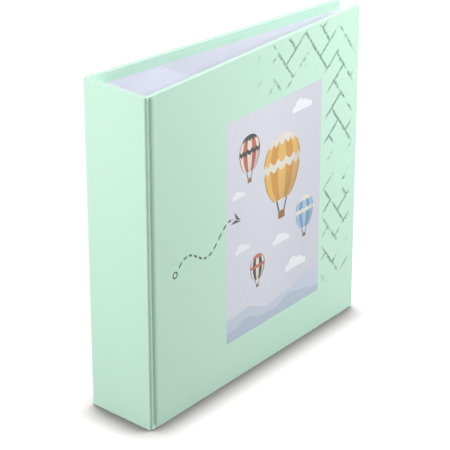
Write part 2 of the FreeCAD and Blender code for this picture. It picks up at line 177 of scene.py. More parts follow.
class NodeBench:
    """Lays out the nodes of one tree."""

    def __init__(self, tree: NodeTree) -> None:
        """Takes the tree."""
        self.tree = tree

    def node(self, kind: str, **settings: object) -> Node:
        """Adds a node.

        Args:
            kind: The node's type.
            **settings: The node's own options.

        Returns:
            The node.
        """
        made = self.tree.nodes.new(kind)
        for option, value in settings.items():
            setattr(made, option, value)
        return made

    def feed(self, socket: NodeSocket, value: Value | Colour) -> None:
        """Links a socket to a value, or sets it where the value is a constant.

        Args:
            socket: The socket to feed.
            value: Another node's output, a number or a colour.
        """
        if isinstance(value, NodeSocket):
            self.tree.links.new(value, socket)
        else:
            socket.default_value = value

    def math(self, operation: str, *values: Value) -> NodeSocket:
        """Works out a number from others.

        Args:
            operation: The operation of a Math node.
            *values: What it works on.

        Returns:
            The result.
        """
        made = self.node("ShaderNodeMath", operation=operation)
        for socket, value in zip(made.inputs, values):
            self.feed(socket, value)
        return made.outputs[0]

    def sum_of(self, base: Value, *parts: tuple[Value, Value]) -> NodeSocket:
        """A value, and several others added to it, each given with what it is multiplied by."""
        return reduce(lambda made, part: self.math("MULTIPLY_ADD", *part, made), parts, base)

    def ramp(
        self,
        value: Value,
        start: float,
        end: float,
        low: float = 0.0,
        high: float = 1.0,
        change: Change = Change.SMOOTH,
    ) -> NodeSocket:
        """Goes from one number to another while a value goes from start to end, and stays there.

        Args:
            value: The value that leads.
            start: Where the result is low.
            end: Where the result is high; it may be less than start.
            low: The result at start.
            high: The result at end.
            change: How it goes.

        Returns:
            The result.
        """
        made = self.node("ShaderNodeMapRange", interpolation_type=change.value)
        names = ("Value", "From Min", "From Max", "To Min", "To Max")
        if start > end:
            start, end, low, high = end, start, high, low
        for name, fed in zip(names, (value, start, end, low, high)):
            self.feed(made.inputs[name], fed)
        return made.outputs["Result"]

    def band(self, value: Value, low: float, high: float, soft: float = PRINT_EDGE) -> NodeSocket:
        """1 while a value is between two numbers, and 0 elsewhere.

        Args:
            value: The value that leads.
            low: The lower limit.
            high: The upper limit.
            soft: How wide the change is at each limit.

        Returns:
            The mask.
        """
        half = soft / 2
        above = self.ramp(value, low - half, low + half)
        below = self.ramp(value, high + half, high - half)
        return self.math("MULTIPLY", above, below)

    def all_of(self, *masks: Value) -> NodeSocket:
        """The product of several masks."""
        return reduce(lambda made, mask: self.math("MULTIPLY", made, mask), masks)

    def any_of(self, *masks: Value) -> NodeSocket:
        """The greatest of several masks."""
        return reduce(lambda made, mask: self.math("MAXIMUM", made, mask), masks)

    def seen_directly(self) -> NodeSocket:
        """1 for what the camera sees, straight on, mirrored or through the film."""
        rays = self.node("ShaderNodeLightPath").outputs
        return self.any_of(*(rays[f"Is {kind} Ray"] for kind in ("Camera", "Glossy", "Transmission")))


class ShaderBench(NodeBench):
    """Lays out the nodes of one material, with lengths in millimetres."""

    def __init__(self, name: str) -> None:
        """Starts a material.

        Args:
            name: The material's name.
        """
        self.material = bpy.data.materials.new(name)
        self.material.use_nodes = True
        super().__init__(self.material.node_tree)
        self.shader = self.tree.nodes["Principled BSDF"]

    def set(self, **values: Value | Colour) -> None:
        """Feeds the shader's sockets, which are named with _ for each space."""
        for name, value in values.items():
            self.feed(self.shader.inputs[name.replace("_", " ")], value)

    def worn(self) -> NodeSocket:
        """The wear that comes with a piece's mesh, from 0 to 1."""
        return self.node("ShaderNodeAttribute", attribute_name=WEAR).outputs["Fac"]

    def mix(self, share: Value, under: NodeSocket | Colour, over: NodeSocket | Colour) -> NodeSocket:
        """Lays one colour over another.

        Args:
            share: How much of the upper colour shows, kept from 0 to 1.
            under: The lower colour.
            over: The upper colour.

        Returns:
            The mixed colour.
        """
        made = self.node("ShaderNodeMix", data_type="RGBA")
        self.feed(made.inputs["Factor"], share)
        # the sockets for colours, which share their names with the ones for numbers
        self.feed(made.inputs[6], under)
        self.feed(made.inputs[7], over)
        return made.outputs[2]

    def place(self, lay: Lay) -> NodeSocket:
        """A point's place, in millimetres.

        Args:
            lay: Which place: in the closed album, on the flat piece, or on a node kept from the frame.

        Returns:
            The place, as a vector.
        """
        if lay is Lay.NODE:
            metres = self.node("ShaderNodeTexCoord").outputs["Object"]
            made = self.node("ShaderNodeVectorMath", operation="SCALE")
            self.feed(made.inputs[0], metres)
            made.inputs["Scale"].default_value = 1 / MM
            return made.outputs[0]
        return self.node("ShaderNodeAttribute", attribute_name=lay.value).outputs["Vector"]

    def axes(self, vector: NodeSocket) -> tuple[NodeSocket, NodeSocket, NodeSocket]:
        """Takes a vector apart.

        Args:
            vector: The vector.

        Returns:
            Its three coordinates.
        """
        made = self.node("ShaderNodeSeparateXYZ")
        self.feed(made.inputs[0], vector)
        return made.outputs[0], made.outputs[1], made.outputs[2]

    def stretch(self, vector: NodeSocket, along: Sequence[float]) -> NodeSocket:
        """Scales a place along each axis, so that a grain runs one way.

        Args:
            vector: The place.
            along: The factor along X, Y and Z.

        Returns:
            The scaled place.
        """
        made = self.node("ShaderNodeVectorMath", operation="MULTIPLY")
        self.feed(made.inputs[0], vector)
        made.inputs[1].default_value = along
        return made.outputs[0]

    def noise(
        self, vector: NodeSocket, grain: float, detail: float = 2.0, rough: float = 0.5
    ) -> NodeSocket:
        """Mottling around 0.5.

        Args:
            vector: The place it follows.
            grain: The size of its spots, in the place's units.
            detail: How many finer layers it has.
            rough: How strong the finer layers are.

        Returns:
            The mottling.
        """
        made = self.node("ShaderNodeTexNoise")
        self.feed(made.inputs["Vector"], vector)
        made.inputs["Scale"].default_value = 1 / grain
        made.inputs["Detail"].default_value = detail
        made.inputs["Roughness"].default_value = rough
        return made.outputs["Fac"]

    def relief(self, *layers: tuple[Value, float]) -> None:
        """Raises the surface by several layers.

        Args:
            *layers: Each layer's height, from 0 to 1, and how many millimetres that is.
        """
        normal = None
        for height, size in layers:
            made = self.node("ShaderNodeBump")
            made.inputs["Distance"].default_value = size * MM
            self.feed(made.inputs["Height"], height)
            if normal is not None:
                self.feed(made.inputs["Normal"], normal)
            normal = made.outputs["Normal"]
        self.set(Normal=normal)


# ---------------------------------------------------------------------------
# the generic print on the front cover
# ---------------------------------------------------------------------------


@dataclass(frozen=True)
class Sheet:
    """The cover's face while its print is laid on it, with places from the joint and the tail."""

    bench: ShaderBench
    spot: NodeSocket
    along: NodeSocket
    up: NodeSocket
    grain: NodeSocket

    def distance(self, along: float, up: float) -> NodeSocket:
        """How far a point is from a spot on the cover.

        Args:
            along: The spot's distance from the joint.
            up: Its height over the tail.

        Returns:
            The distance.
        """
        made = self.bench.node("ShaderNodeVectorMath", operation="DISTANCE")
        self.bench.feed(made.inputs[0], self.spot)
        made.inputs[1].default_value = (along, up, 0)
        return made.outputs["Value"]

    def offset(self, along: float, up: float, unit: float = 1.0) -> tuple[NodeSocket, NodeSocket]:
        """How far a point is along the cover and up it from a spot, in a unit of length.

        Args:
            along: The spot's distance from the joint.
            up: Its height over the tail.
            unit: The unit, in millimetres.

        Returns:
            The two distances.
        """
        sideways = self.bench.math("SUBTRACT", self.along, along)
        upwards = self.bench.math("SUBTRACT", self.up, up)
        return self.bench.math("DIVIDE", sideways, unit), self.bench.math("DIVIDE", upwards, unit)


class Motif(ABC):
    """Something printed on the cover."""

    @abstractmethod
    def draw(self, sheet: Sheet, under: NodeSocket) -> NodeSocket:
        """Prints the motif.

        Args:
            sheet: The face it is printed on.
            under: The colour that is there already.

        Returns:
            The colour with the motif on it.
        """


@dataclass(frozen=True)
class Hills:
    """A row of low hills along the panel's foot."""

    # their mean height over the foot, how high they roll, how long one roll is, and the first roll's phase
    level: float
    height: float
    length: float
    phase: float
    colour: Colour
    # a shorter roll on top: how many of it to one long roll, and its height against the long roll's
    short_rolls: float = 2.3
    short_height: float = 0.3

    def mask(self, sheet: Sheet, foot: float) -> NodeSocket:
        """Where the hills are.

        Args:
            sheet: The face they are printed on.
            foot: The panel's foot.

        Returns:
            The mask.
        """
        bench = sheet.bench
        swing = bench.sum_of(self.phase, (sheet.along, math.tau / self.length))
        short_roll = bench.math("SINE", bench.math("MULTIPLY", swing, self.short_rolls))
        line = bench.sum_of(bench.math("SINE", swing), (short_roll, self.short_height))
        line = bench.sum_of(foot + self.level, (line, self.height))
        return bench.ramp(bench.math("SUBTRACT", sheet.up, line), PRINT_EDGE, 0.0)


@dataclass(frozen=True)
class Panel(Motif):
    """The pale upright panel, a plastered wall over low hills."""

    left: float = 69.0
    right: float = 171.5
    foot: float = 29.5
    head: float = 184.5
    wall: Colour = paint(229, 231, 242)
    wall_shade: Colour = paint(211, 214, 224)
    # where the wall's shade starts, how deep it gets, and how mottled the wall is
    shade_start: float = 99.0
    shade_depth: float = 0.75
    mottling: float = 0.5
    hills: tuple[Hills, ...] = (
        Hills(15.0, 3.2, 74.0, 0.8, paint(204, 213, 229)),
        Hills(8.0, 2.4, 51.0, 3.1, paint(186, 200, 216)),
    )

    def draw(self, sheet: Sheet, under: NodeSocket) -> NodeSocket:
        """Prints the panel.

        Args:
            sheet: The face it is printed on.
            under: The colour that is there already.

        Returns:
            The colour with the panel on it.
        """
        bench = sheet.bench
        shade = bench.ramp(sheet.along, self.shade_start, self.right, 0.0, self.shade_depth)
        mottled = bench.sum_of(shade, (sheet.grain, self.mottling))
        colour = bench.mix(mottled, self.wall, self.wall_shade)
        for hills in self.hills:
            colour = bench.mix(hills.mask(sheet, self.foot), colour, hills.colour)
        inside = bench.all_of(
            bench.band(sheet.along, self.left, self.right),
            bench.band(sheet.up, self.foot, self.head),
        )
        return bench.mix(inside, under, colour)


@dataclass(frozen=True)
class Cloud(Motif):
    """A cloud of round puffs on a flat base."""

    along: float
    up: float
    size: float
    colour: Colour = paint(244, 246, 251)
    # each puff's middle from the cloud's, and its radius, in the cloud's size
    puffs: tuple[tuple[float, float, float], ...] = (
        (-1.15, -0.12, 0.42),
        (-0.45, 0.2, 0.66),
        (0.4, 0.06, 0.56),
        (1.1, -0.14, 0.4),
    )
    base: float = -0.34
    # how far the print's grain frays an edge, and how softly the edge ends
    fray: float = 0.8
    soft: float = 0.2

    def draw(self, sheet: Sheet, under: NodeSocket) -> NodeSocket:
        """Prints the cloud.

        Args:
            sheet: The face it is printed on.
            under: The colour that is there already.

        Returns:
            The colour with the cloud on it.
        """
        bench = sheet.bench
        puffs = []
        for along, up, radius in self.puffs:
            distance = sheet.distance(self.along + along * self.size, self.up + up * self.size)
            edge = bench.sum_of(distance, (sheet.grain, self.fray))
            inner = radius * self.size + self.soft
            puffs.append(bench.ramp(edge, inner + 2 * self.soft, inner))
        level = self.up + self.base * self.size
        above = bench.ramp(sheet.up, level - self.soft, level + self.soft)
        return bench.mix(bench.all_of(bench.any_of(*puffs), above), under, self.colour)


@dataclass(frozen=True)
class Balloon(Motif):
    """A striped hot-air balloon with a scalloped belt, a cap and a basket."""

    along: float
    up: float
    radius: float
    dark: Colour
    light: Colour
    trim: Colour
    gores: float = 7.0
    rope: Colour = paint(58, 58, 62)
    wicker: Colour = paint(150, 108, 78)
    shadow: Colour = paint(92, 84, 86)
    # in radii: the cap's and the belt's edges, the bag's mouth, and the basket's top, foot and half width
    cap: float = 0.74
    belt_top: float = 0.16
    belt_foot: float = -0.12
    scallop: float = 0.16
    mouth: float = -1.34
    basket_top: float = -1.74
    basket_foot: float = -2.02
    basket_half: float = 0.17
    # the bag's lower half is drawn out: its heights shrink by this before it is rounded
    taper: float = 0.68
    # the ropes' slope, their place level with the bag's middle, and their half width
    rope_slope: float = 0.32
    rope_reach: float = 0.70
    rope_half: float = 0.05
    # how softly one gore meets the next
    gore_edge: float = 0.08
    # the shade on the bag's far lower side: where it starts and is full, and how deep it is
    shade_start: float = 0.1
    shade_full: float = 1.6
    shade_depth: float = 0.34
    # how mottled the bag's print is
    mottling: float = 0.12

    @property
    def soft(self) -> float:
        """How softly its edges end, in radii."""
        return PRINT_EDGE / self.radius

    def bag(self, sheet: Sheet, sideways: NodeSocket, upwards: NodeSocket) -> tuple[NodeSocket, NodeSocket]:
        """The balloon's bag.

        Args:
            sheet: The face it is printed on.
            sideways: The distance from its middle, in radii.
            upwards: The height over its middle, in radii.

        Returns:
            The bag's mask and its colour.
        """
        bench, soft = sheet.bench, self.soft
        lower = bench.math("MULTIPLY", bench.math("MINIMUM", upwards, 0.0), self.taper)
        height = bench.math("ADD", bench.math("MAXIMUM", upwards, 0.0), lower)
        reach = bench.math("SUBTRACT", 1.0, bench.math("POWER", height, 2.0))
        # never 0, because the way round the bag is worked out by dividing by it
        reach = bench.math("SQRT", bench.math("MAXIMUM", reach, 0.01))
        mask = bench.all_of(
            bench.ramp(bench.math("SUBTRACT", bench.math("ABSOLUTE", sideways), reach), 0.0, -soft),
            bench.ramp(bench.math("ABSOLUTE", height), 1.0, 1.0 - soft),
            bench.ramp(upwards, self.mouth, self.mouth + soft),
        )
        across = bench.math("MINIMUM", bench.math("DIVIDE", sideways, reach), 1.0)
        turned = bench.math("ARCSINE", bench.math("MAXIMUM", across, -1.0))
        wave = bench.math("COSINE", bench.math("MULTIPLY", turned, self.gores))
        colour = bench.mix(bench.ramp(wave, -self.gore_edge, self.gore_edge), self.dark, self.light)
        hem = bench.sum_of(upwards, (bench.math("ABSOLUTE", wave), self.scallop))
        belt = bench.band(hem, self.belt_foot, self.belt_top, soft)
        cap = bench.ramp(hem, self.cap, self.cap + soft)
        colour = bench.mix(bench.any_of(belt, cap), colour, self.trim)
        aslant = bench.math("SUBTRACT", sideways, height)
        shade = bench.ramp(aslant, self.shade_start, self.shade_full, 0.0, self.shade_depth)
        shade = bench.sum_of(shade, (sheet.grain, self.mottling))
        return mask, bench.mix(shade, colour, self.shadow)

    def draw(self, sheet: Sheet, under: NodeSocket) -> NodeSocket:
        """Prints the balloon.

        Args:
            sheet: The face it is printed on.
            under: The colour that is there already.

        Returns:
            The colour with the balloon on it.
        """
        bench, soft = sheet.bench, self.soft
        sideways, upwards = sheet.offset(self.along, self.up, self.radius)
        mask, colour = self.bag(sheet, sideways, upwards)
        made = bench.mix(mask, under, colour)
        width = bench.math("ABSOLUTE", sideways)
        below = bench.band(upwards, self.basket_top, self.mouth, soft)
        lean = bench.sum_of(self.rope_reach, (upwards, self.rope_slope))
        from_rope = bench.math("ABSOLUTE", bench.math("SUBTRACT", width, lean))
        ropes = bench.ramp(from_rope, self.rope_half, 0.4 * self.rope_half)
        made = bench.mix(bench.all_of(below, ropes), made, self.rope)
        basket = bench.all_of(
            bench.ramp(width, self.basket_half + soft, self.basket_half),
            bench.band(upwards, self.basket_foot, self.basket_top, soft),
        )
        return bench.mix(basket, made, self.wicker)


@dataclass(frozen=True)
class Route(Motif):
    """A dashed pen line that winds over the cover, from a ring to a paper dart."""

    start: float = 17.0
    end: float = 79.0
    level: float = 100.0
    climb: float = 0.2
    swing: float = 6.0
    length: float = 44.0
    dash: float = 5.0
    half_width: float = 0.5
    # how much the print's grain widens the line, and how softly its sides and its dashes' ends end
    ragged: float = 0.35
    soft: float = 0.15
    dash_soft: float = 0.06
    ink: Colour = paint(52, 56, 56)
    ink_strength: float = 0.92
    # the part of each step that is inked, the line's gaps to the ring and the dart, and the ring's radii
    inked: tuple[float, float] = (0.12, 0.74)
    ring_gap: float = 3.5
    dart_gap: float = 3.0
    ring_inner: float = 1.5
    ring_outer: float = 2.5
    ring_soft: float = 0.25
    # the dart: its nose ahead of the line's end, its half width to its length, the slant and the edge of
    # its notch, and the edge of its keel
    nose: float = 6.0
    wing_spread: float = 0.42
    notch_slant: float = 0.9
    notch: tuple[float, float] = (-0.6, -0.3)
    keel: tuple[float, float] = (0.12, 0.36)

    def height(self, along: float) -> float:
        """How high the line is at a distance from the joint."""
        turn = (along - self.start) * math.tau / self.length
        return self.level + (along - self.start) * self.climb + self.swing * math.sin(turn)

    def slope(self, along: float) -> float:
        """How steep the line is at a distance from the joint."""
        turn = (along - self.start) * math.tau / self.length
        return self.climb + self.swing * math.tau / self.length * math.cos(turn)

    def line(self, sheet: Sheet) -> NodeSocket:
        """The dashed line.

        Args:
            sheet: The face it is drawn on.

        Returns:
            The mask.
        """
        bench = sheet.bench
        step = math.tau / self.length
        turn = bench.sum_of(-self.start * step, (sheet.along, step))
        straight = bench.sum_of(self.level - self.start * self.climb, (sheet.along, self.climb))
        height = bench.sum_of(straight, (bench.math("SINE", turn), self.swing))
        slope = bench.sum_of(self.climb, (bench.math("COSINE", turn), self.swing * step))
        steepness = bench.math("SQRT", bench.sum_of(1.0, (slope, slope)))
        apart = bench.math("ABSOLUTE", bench.math("SUBTRACT", sheet.up, height))
        apart = bench.math("DIVIDE", apart, steepness)
        width = bench.sum_of(self.half_width, (sheet.grain, self.ragged))
        stroke = bench.ramp(bench.math("SUBTRACT", apart, width), self.soft, -self.soft)
        share = bench.math("FRACT", bench.math("DIVIDE", sheet.along, self.dash))
        dashes = bench.band(share, *self.inked, self.dash_soft)
        between = bench.band(sheet.along, self.start + self.ring_gap, self.end - self.dart_gap)
        return bench.all_of(stroke, dashes, between)

    def ring(self, sheet: Sheet) -> NodeSocket:
        """The mask of the ring where the line starts."""
        distance = sheet.distance(self.start, self.level)
        return sheet.bench.band(distance, self.ring_inner, self.ring_outer, self.ring_soft)

    def dart(self, sheet: Sheet) -> NodeSocket:
        """The paper dart at the line's end, which points along the line.

        Args:
            sheet: The face it is drawn on.

        Returns:
            The mask.
        """
        bench = sheet.bench
        slant = math.atan(self.slope(self.end))
        sideways, upwards = sheet.offset(self.end, self.height(self.end))
        cos, sin = math.cos(slant), math.sin(slant)
        ahead = bench.sum_of(0.0, (sideways, cos), (upwards, sin))
        aside = bench.math("ABSOLUTE", bench.sum_of(0.0, (sideways, -sin), (upwards, cos)))
        to_nose = bench.math("SUBTRACT", self.nose, ahead)
        wings = bench.ramp(bench.sum_of(aside, (to_nose, -self.wing_spread)), self.soft, -self.soft)
        tail = bench.ramp(bench.sum_of(ahead, (aside, self.notch_slant)), *self.notch)
        keel = bench.ramp(aside, *self.keel)
        return bench.all_of(wings, tail, keel)

    def draw(self, sheet: Sheet, under: NodeSocket) -> NodeSocket:
        """Draws the line, its ring and its dart.

        Args:
            sheet: The face it is drawn on.
            under: The colour that is there already.

        Returns:
            The colour with the line on it.
        """
        bench = sheet.bench
        marks = bench.any_of(self.line(sheet), self.ring(sheet), self.dart(sheet))
        return bench.mix(bench.math("MULTIPLY", marks, self.ink_strength), under, self.ink)


@dataclass(frozen=True)
class Paving(Motif):
    """Worn joint lines of herringbone paving above and beside the panel."""

    stone: float = 13.5
    slant: float = math.radians(38)
    # in stones: how much the print's grain widens a joint, and how far it strays
    joint: float = 0.072
    stray: float = 0.16
    # how wide a joint is without the grain, to what the grain adds
    least_joint: float = 0.35
    # the step, in squares, at which the pattern comes round again
    period: float = 4.0
    # where the paving is: beside the panel, from the foot up, and above it, from the left out
    inner: float = 176.0
    outer: float = 206.0
    foot: float = 36.0
    left: float = 104.0
    upper: float = 189.0
    head: float = 222.0
    # how large the patches are where the lines have stayed, and the flaws along a line
    patch: float = 26.0
    flaw: float = 2.2
    ink: Colour = paint(122, 154, 136)

    def joints(self, sheet: Sheet) -> NodeSocket:
        """The joint lines of an endless herringbone floor.

        Args:
            sheet: The face they are printed on.

        Returns:
            The mask.
        """
        bench = sheet.bench
        cos, sin = math.cos(self.slant) / self.stone, math.sin(self.slant) / self.stone
        wobble = bench.math("MULTIPLY", bench.math("SUBTRACT", sheet.grain, 0.5), self.stray)
        first = bench.sum_of(wobble, (sheet.along, cos), (sheet.up, sin))
        second = bench.sum_of(wobble, (sheet.along, -sin), (sheet.up, cos))
        column, row = bench.math("FLOOR", first), bench.math("FLOOR", second)
        step = bench.math("FLOORED_MODULO", bench.math("SUBTRACT", column, row), self.period)
        across, upwards = bench.math("FRACT", first), bench.math("FRACT", second)
        width = bench.sum_of(self.joint * self.least_joint, (sheet.grain, self.joint))

        def side(from_side: NodeSocket, open_step: float) -> NodeSocket:
            """The line along one side of each square, but for the squares that a stone runs on from.

            Args:
                from_side: How far a point is from that side, in stones.
                open_step: The step of the pattern at which the stone runs on.

            Returns:
                The mask.
            """
            on_line = bench.ramp(bench.math("SUBTRACT", from_side, width), start=0.02, end=-0.01)
            runs_on = bench.math("COMPARE", step, open_step, 0.5)
            return bench.math("MULTIPLY", on_line, bench.math("SUBTRACT", 1.0, runs_on))

        return bench.any_of(
            side(across, 1.0),
            side(bench.math("SUBTRACT", 1.0, across), 0.0),
            side(upwards, 2.0),
            side(bench.math("SUBTRACT", 1.0, upwards), 3.0),
        )

    def draw(self, sheet: Sheet, under: NodeSocket) -> NodeSocket:
        """Prints the paving.

        Args:
            sheet: The face it is printed on.
            under: The colour that is there already.

        Returns:
            The colour with the paving on it.
        """
        bench = sheet.bench
        above = bench.all_of(
            bench.band(sheet.along, self.left, self.outer, soft=14.0),
            bench.band(sheet.up, self.upper, self.head, soft=3.0),
        )
        beside = bench.all_of(
            bench.band(sheet.along, self.inner, self.outer, soft=6.0),
            bench.band(sheet.up, self.foot, self.head, soft=12.0),
        )
        place = bench.place(Lay.FLAT)
        patches = bench.noise(place, self.patch, detail=3.0, rough=0.6)
        patches = bench.ramp(patches, start=0.44, end=0.51)
        worn = bench.noise(place, self.flaw, detail=3.0, rough=0.7)
        worn = bench.ramp(worn, start=0.28, end=0.62, low=0.45)
        mask = bench.all_of(self.joints(sheet), bench.any_of(above, beside), patches, worn)
        return bench.mix(mask, under, self.ink)


@dataclass(frozen=True)
class CoverPrint:
    """Everything printed on the front cover, in the order in which it is laid down."""

    amber: Colour = paint(218, 162, 78)
    honey: Colour = paint(236, 194, 118)
    coral: Colour = paint(200, 112, 96)
    blue: Colour = paint(122, 166, 202)
    sky: Colour = paint(176, 205, 228)
    charcoal: Colour = paint(66, 64, 68)
    cream: Colour = paint(240, 235, 224)

    # each cloud's place on the cover, from the joint and the tail, and its size
    clouds: tuple[tuple[float, float, float], ...] = (
        (150.0, 172.0, 7.0),
        (82.0, 131.0, 4.5),
        (128.0, 84.0, 6.0),
        (145.0, 60.0, 7.5),
        (86.0, 92.0, 5.0),
    )

    def motifs(self) -> Iterable[Motif]:
        """The motifs, lowest first.

        Yields:
            Each motif.
        """
        yield Paving()
        yield Panel()
        for along, up, size in self.clouds:
            yield Cloud(along, up, size)
        # each balloon's place and radius, the colours of its gores and its trim
        yield Balloon(128.0, 140.0, 20.0, self.amber, self.honey, self.cream)
        yield Balloon(93.0, 159.0, 11.0, self.coral, self.cream, self.charcoal)
        yield Balloon(154.0, 97.0, 10.0, self.blue, self.sky, self.cream)
        yield Balloon(102.0, 75.0, 8.0, self.charcoal, self.cream, self.coral)
        yield Route()

    def lay(self, bench: ShaderBench, ground: NodeSocket) -> NodeSocket:
        """Prints the cover.

        Args:
            bench: The material's bench.
            ground: The colour of the paper.

        Returns:
            The printed colour.
        """
        place = bench.place(Lay.FLAT)
        along, _, up = bench.axes(place)
        from_joint = bench.math("SUBTRACT", along, CaseSizes.hinge_reach)
        spot = bench.node("ShaderNodeCombineXYZ")
        bench.feed(spot.inputs[0], from_joint)
        bench.feed(spot.inputs[1], up)
        grain = bench.noise(place, grain=2.4, detail=4.0, rough=0.6)
        sheet = Sheet(bench, spot.outputs[0], from_joint, up, grain)
        colour = ground
        for motif in self.motifs():
            colour = motif.draw(sheet, colour)
        return colour


# ---------------------------------------------------------------------------
# finishes
# ---------------------------------------------------------------------------


@dataclass(frozen=True)
class Finish(ABC):
    """A surface finish, and the record's slot that it belongs to."""

    name: str
    slot: str

    def material(self) -> Material:
        """The finish's material, made the first time it is asked for.

        Returns:
            The material.
        """
        made = bpy.data.materials.get(self.name)
        if made is None:
            bench = ShaderBench(self.name)
            self.dress(bench)
            made = bench.material
        return made

    @abstractmethod
    def dress(self, bench: ShaderBench) -> None:
        """Lays out the material's nodes.

        Args:
            bench: The material's bench.
        """


@dataclass(frozen=True)
class Laminate(Finish):
    """Mint paper under a satin film, plain or with the cover's print."""

    printed: bool = False
    mint: Colour = paint(205, 241, 222)
    deep_mint: Colour = paint(199, 237, 216)
    rubbed: Colour = paint(228, 248, 238)
    # the sizes of the paper's clouding and fibres, and of the board's unevenness under it
    clouding: float = 46.0
    fibre: float = 0.9
    unevenness: float = 24.0

    def dress(self, bench: ShaderBench) -> None:
        """Lays out the material's nodes.

        Args:
            bench: The material's bench.
        """
        place = bench.place(Lay.LAID)
        clouding = bench.noise(place, self.clouding, detail=3.0)
        fibre = bench.noise(place, self.fibre, detail=4.0, rough=0.65)
        colour = bench.mix(bench.sum_of(0.0, (clouding, 0.55), (fibre, 0.3)), self.mint, self.deep_mint)
        if self.printed:
            colour = CoverPrint().lay(bench, colour)
        patches = bench.noise(place, grain=3.5, detail=4.0, rough=0.7)
        rubbing = bench.sum_of(0.14, (bench.ramp(patches, start=0.42, end=0.66), 0.2))
        rubbing = bench.math("MULTIPLY", bench.worn(), rubbing)
        bench.set(Base_Color=bench.mix(rubbing, colour, self.rubbed))
        bench.set(Roughness=bench.sum_of(0.34, (clouding, 0.12), (rubbing, 0.3)))
        bench.set(Specular_IOR_Level=0.36, Coat_Weight=0.12, Coat_Roughness=0.22)
        board, skin = bench.noise(place, self.unevenness), bench.noise(place, grain=1.3)
        bench.relief((board, 0.05), (skin, 0.006), (fibre, 0.002))


@dataclass(frozen=True)
class Paper(Finish):
    """Uncoated paper of the endpapers and the liner, with its fibres."""

    lay: Lay = Lay.LAID
    white: Colour = paint(240, 241, 246)
    shade: Colour = paint(228, 230, 237)

    def dress(self, bench: ShaderBench) -> None:
        """Lays out the material's nodes.

        Args:
            bench: The material's bench.
        """
        place = bench.place(self.lay)
        fibres = bench.noise(bench.stretch(place, (1.0, 1.0, 0.35)), grain=0.7, detail=4.0, rough=0.7)
        clouding = bench.noise(place, grain=18.0, detail=3.0)
        share = bench.sum_of(0.0, (clouding, 0.35), (fibres, 0.45))
        bench.set(Base_Color=bench.mix(share, self.white, self.shade))
        bench.set(Roughness=bench.sum_of(0.72, (fibres, 0.15)))
        bench.set(Specular_IOR_Level=0.3)
        bench.relief((clouding, 0.03), (fibres, 0.012))


@dataclass(frozen=True)
class LeafCard(Finish):
    """Smooth bluish-white card of the leaves, with memo lines, and painted shade behind the pockets.

    Each leaf's own tone comes with its mesh, as its wear.
    """

    lay: Lay = Lay.FLAT
    ruled: bool = True
    # the step from one card to the next where several are stacked, with painted shade in the gaps between
    # them
    layers: float = 0.0
    white: Colour = paint(238, 239, 252)
    shade: Colour = paint(226, 227, 243)
    # painted shade on the card behind the pockets
    core: Colour = paint(227, 228, 240)
    # painted shade in the gaps between stacked strips
    gap: Colour = paint(188, 190, 210)
    line: Colour = paint(176, 184, 203)
    # how much of the painted pocket shade's and the lines' colour shows, and how softly that shade starts
    core_strength: float = 0.9
    line_strength: float = 0.75
    core_edge: float = 0.4
    # from one memo line to the next, and half a line's width
    pitch: float = 8.0
    stroke: float = 0.22

    def dress(self, bench: ShaderBench) -> None:
        """Lays out the material's nodes.

        Args:
            bench: The material's bench.
        """
        place = bench.place(self.lay)
        fibres = bench.noise(bench.stretch(place, (1.0, 1.0, 0.4)), grain=0.5, detail=4.0, rough=0.65)
        clouding = bench.noise(place, grain=11.0, detail=3.0)
        share = bench.sum_of(-0.35, (clouding, 0.3), (fibres, 0.5), (bench.worn(), 0.7))
        colour = bench.mix(share, self.white, self.shade)
        if self.ruled:
            # the card behind the pockets is painted greyer, as shade
            behind = bench.ramp(bench.axes(place)[0], LeafSizes.memo, LeafSizes.memo + self.core_edge)
            colour = bench.mix(bench.math("MULTIPLY", behind, self.core_strength), colour, self.core)
            lines = bench.math("MULTIPLY", self.lines(bench, place), self.line_strength)
            colour = bench.mix(lines, colour, self.line)
        if self.layers:
            # painted shade in the gaps between stacked strips
            colour = bench.mix(self.stacked(bench, place), colour, self.gap)
        bench.set(Base_Color=colour)
        bench.set(Roughness=bench.sum_of(0.55, (fibres, 0.12)))
        bench.set(Specular_IOR_Level=0.4)
        bench.relief((fibres, 0.006))

    def stacked(self, bench: ShaderBench, place: NodeSocket) -> NodeSocket:
        """The mask of the painted shade in the gaps between stacked strips.

        Args:
            bench: The material's bench.
            place: The place on the strips.

        Returns:
            The mask.
        """
        across = bench.axes(place)[1]
        turn = bench.math("SINE", bench.math("MULTIPLY", across, math.tau / self.layers))
        loose = bench.noise(bench.stretch(place, (0.05, 1.0, 0.02)), grain=0.6)
        depth = bench.sum_of(0.2, (loose, 0.7))
        return bench.math("MULTIPLY", bench.ramp(turn, start=-0.4, end=1.0), depth)

    def lines(self, bench: ShaderBench, place: NodeSocket) -> NodeSocket:
        """The mask of the memo lines, in two groups, one beside each pocket.

        Args:
            bench: The material's bench.
            place: The place on the leaf.

        Returns:
            The mask.
        """
        sizes = LeafSizes()
        along, _, up = bench.axes(place)
        across = bench.band(along, sizes.memo_margin, sizes.memo - sizes.memo_margin, soft=0.2)
        row = bench.math("FRACT", bench.math("DIVIDE", up, self.pitch))
        half = self.stroke / self.pitch
        rules = bench.band(row, 0.5 - half, 0.5 + half, soft=0.01)
        groups = [
            bench.band(up, low + sizes.memo_margin, high - sizes.memo_margin, soft=0.1)
            for low, high in sizes.pockets()
        ]
        return bench.all_of(across, rules, bench.any_of(*groups))


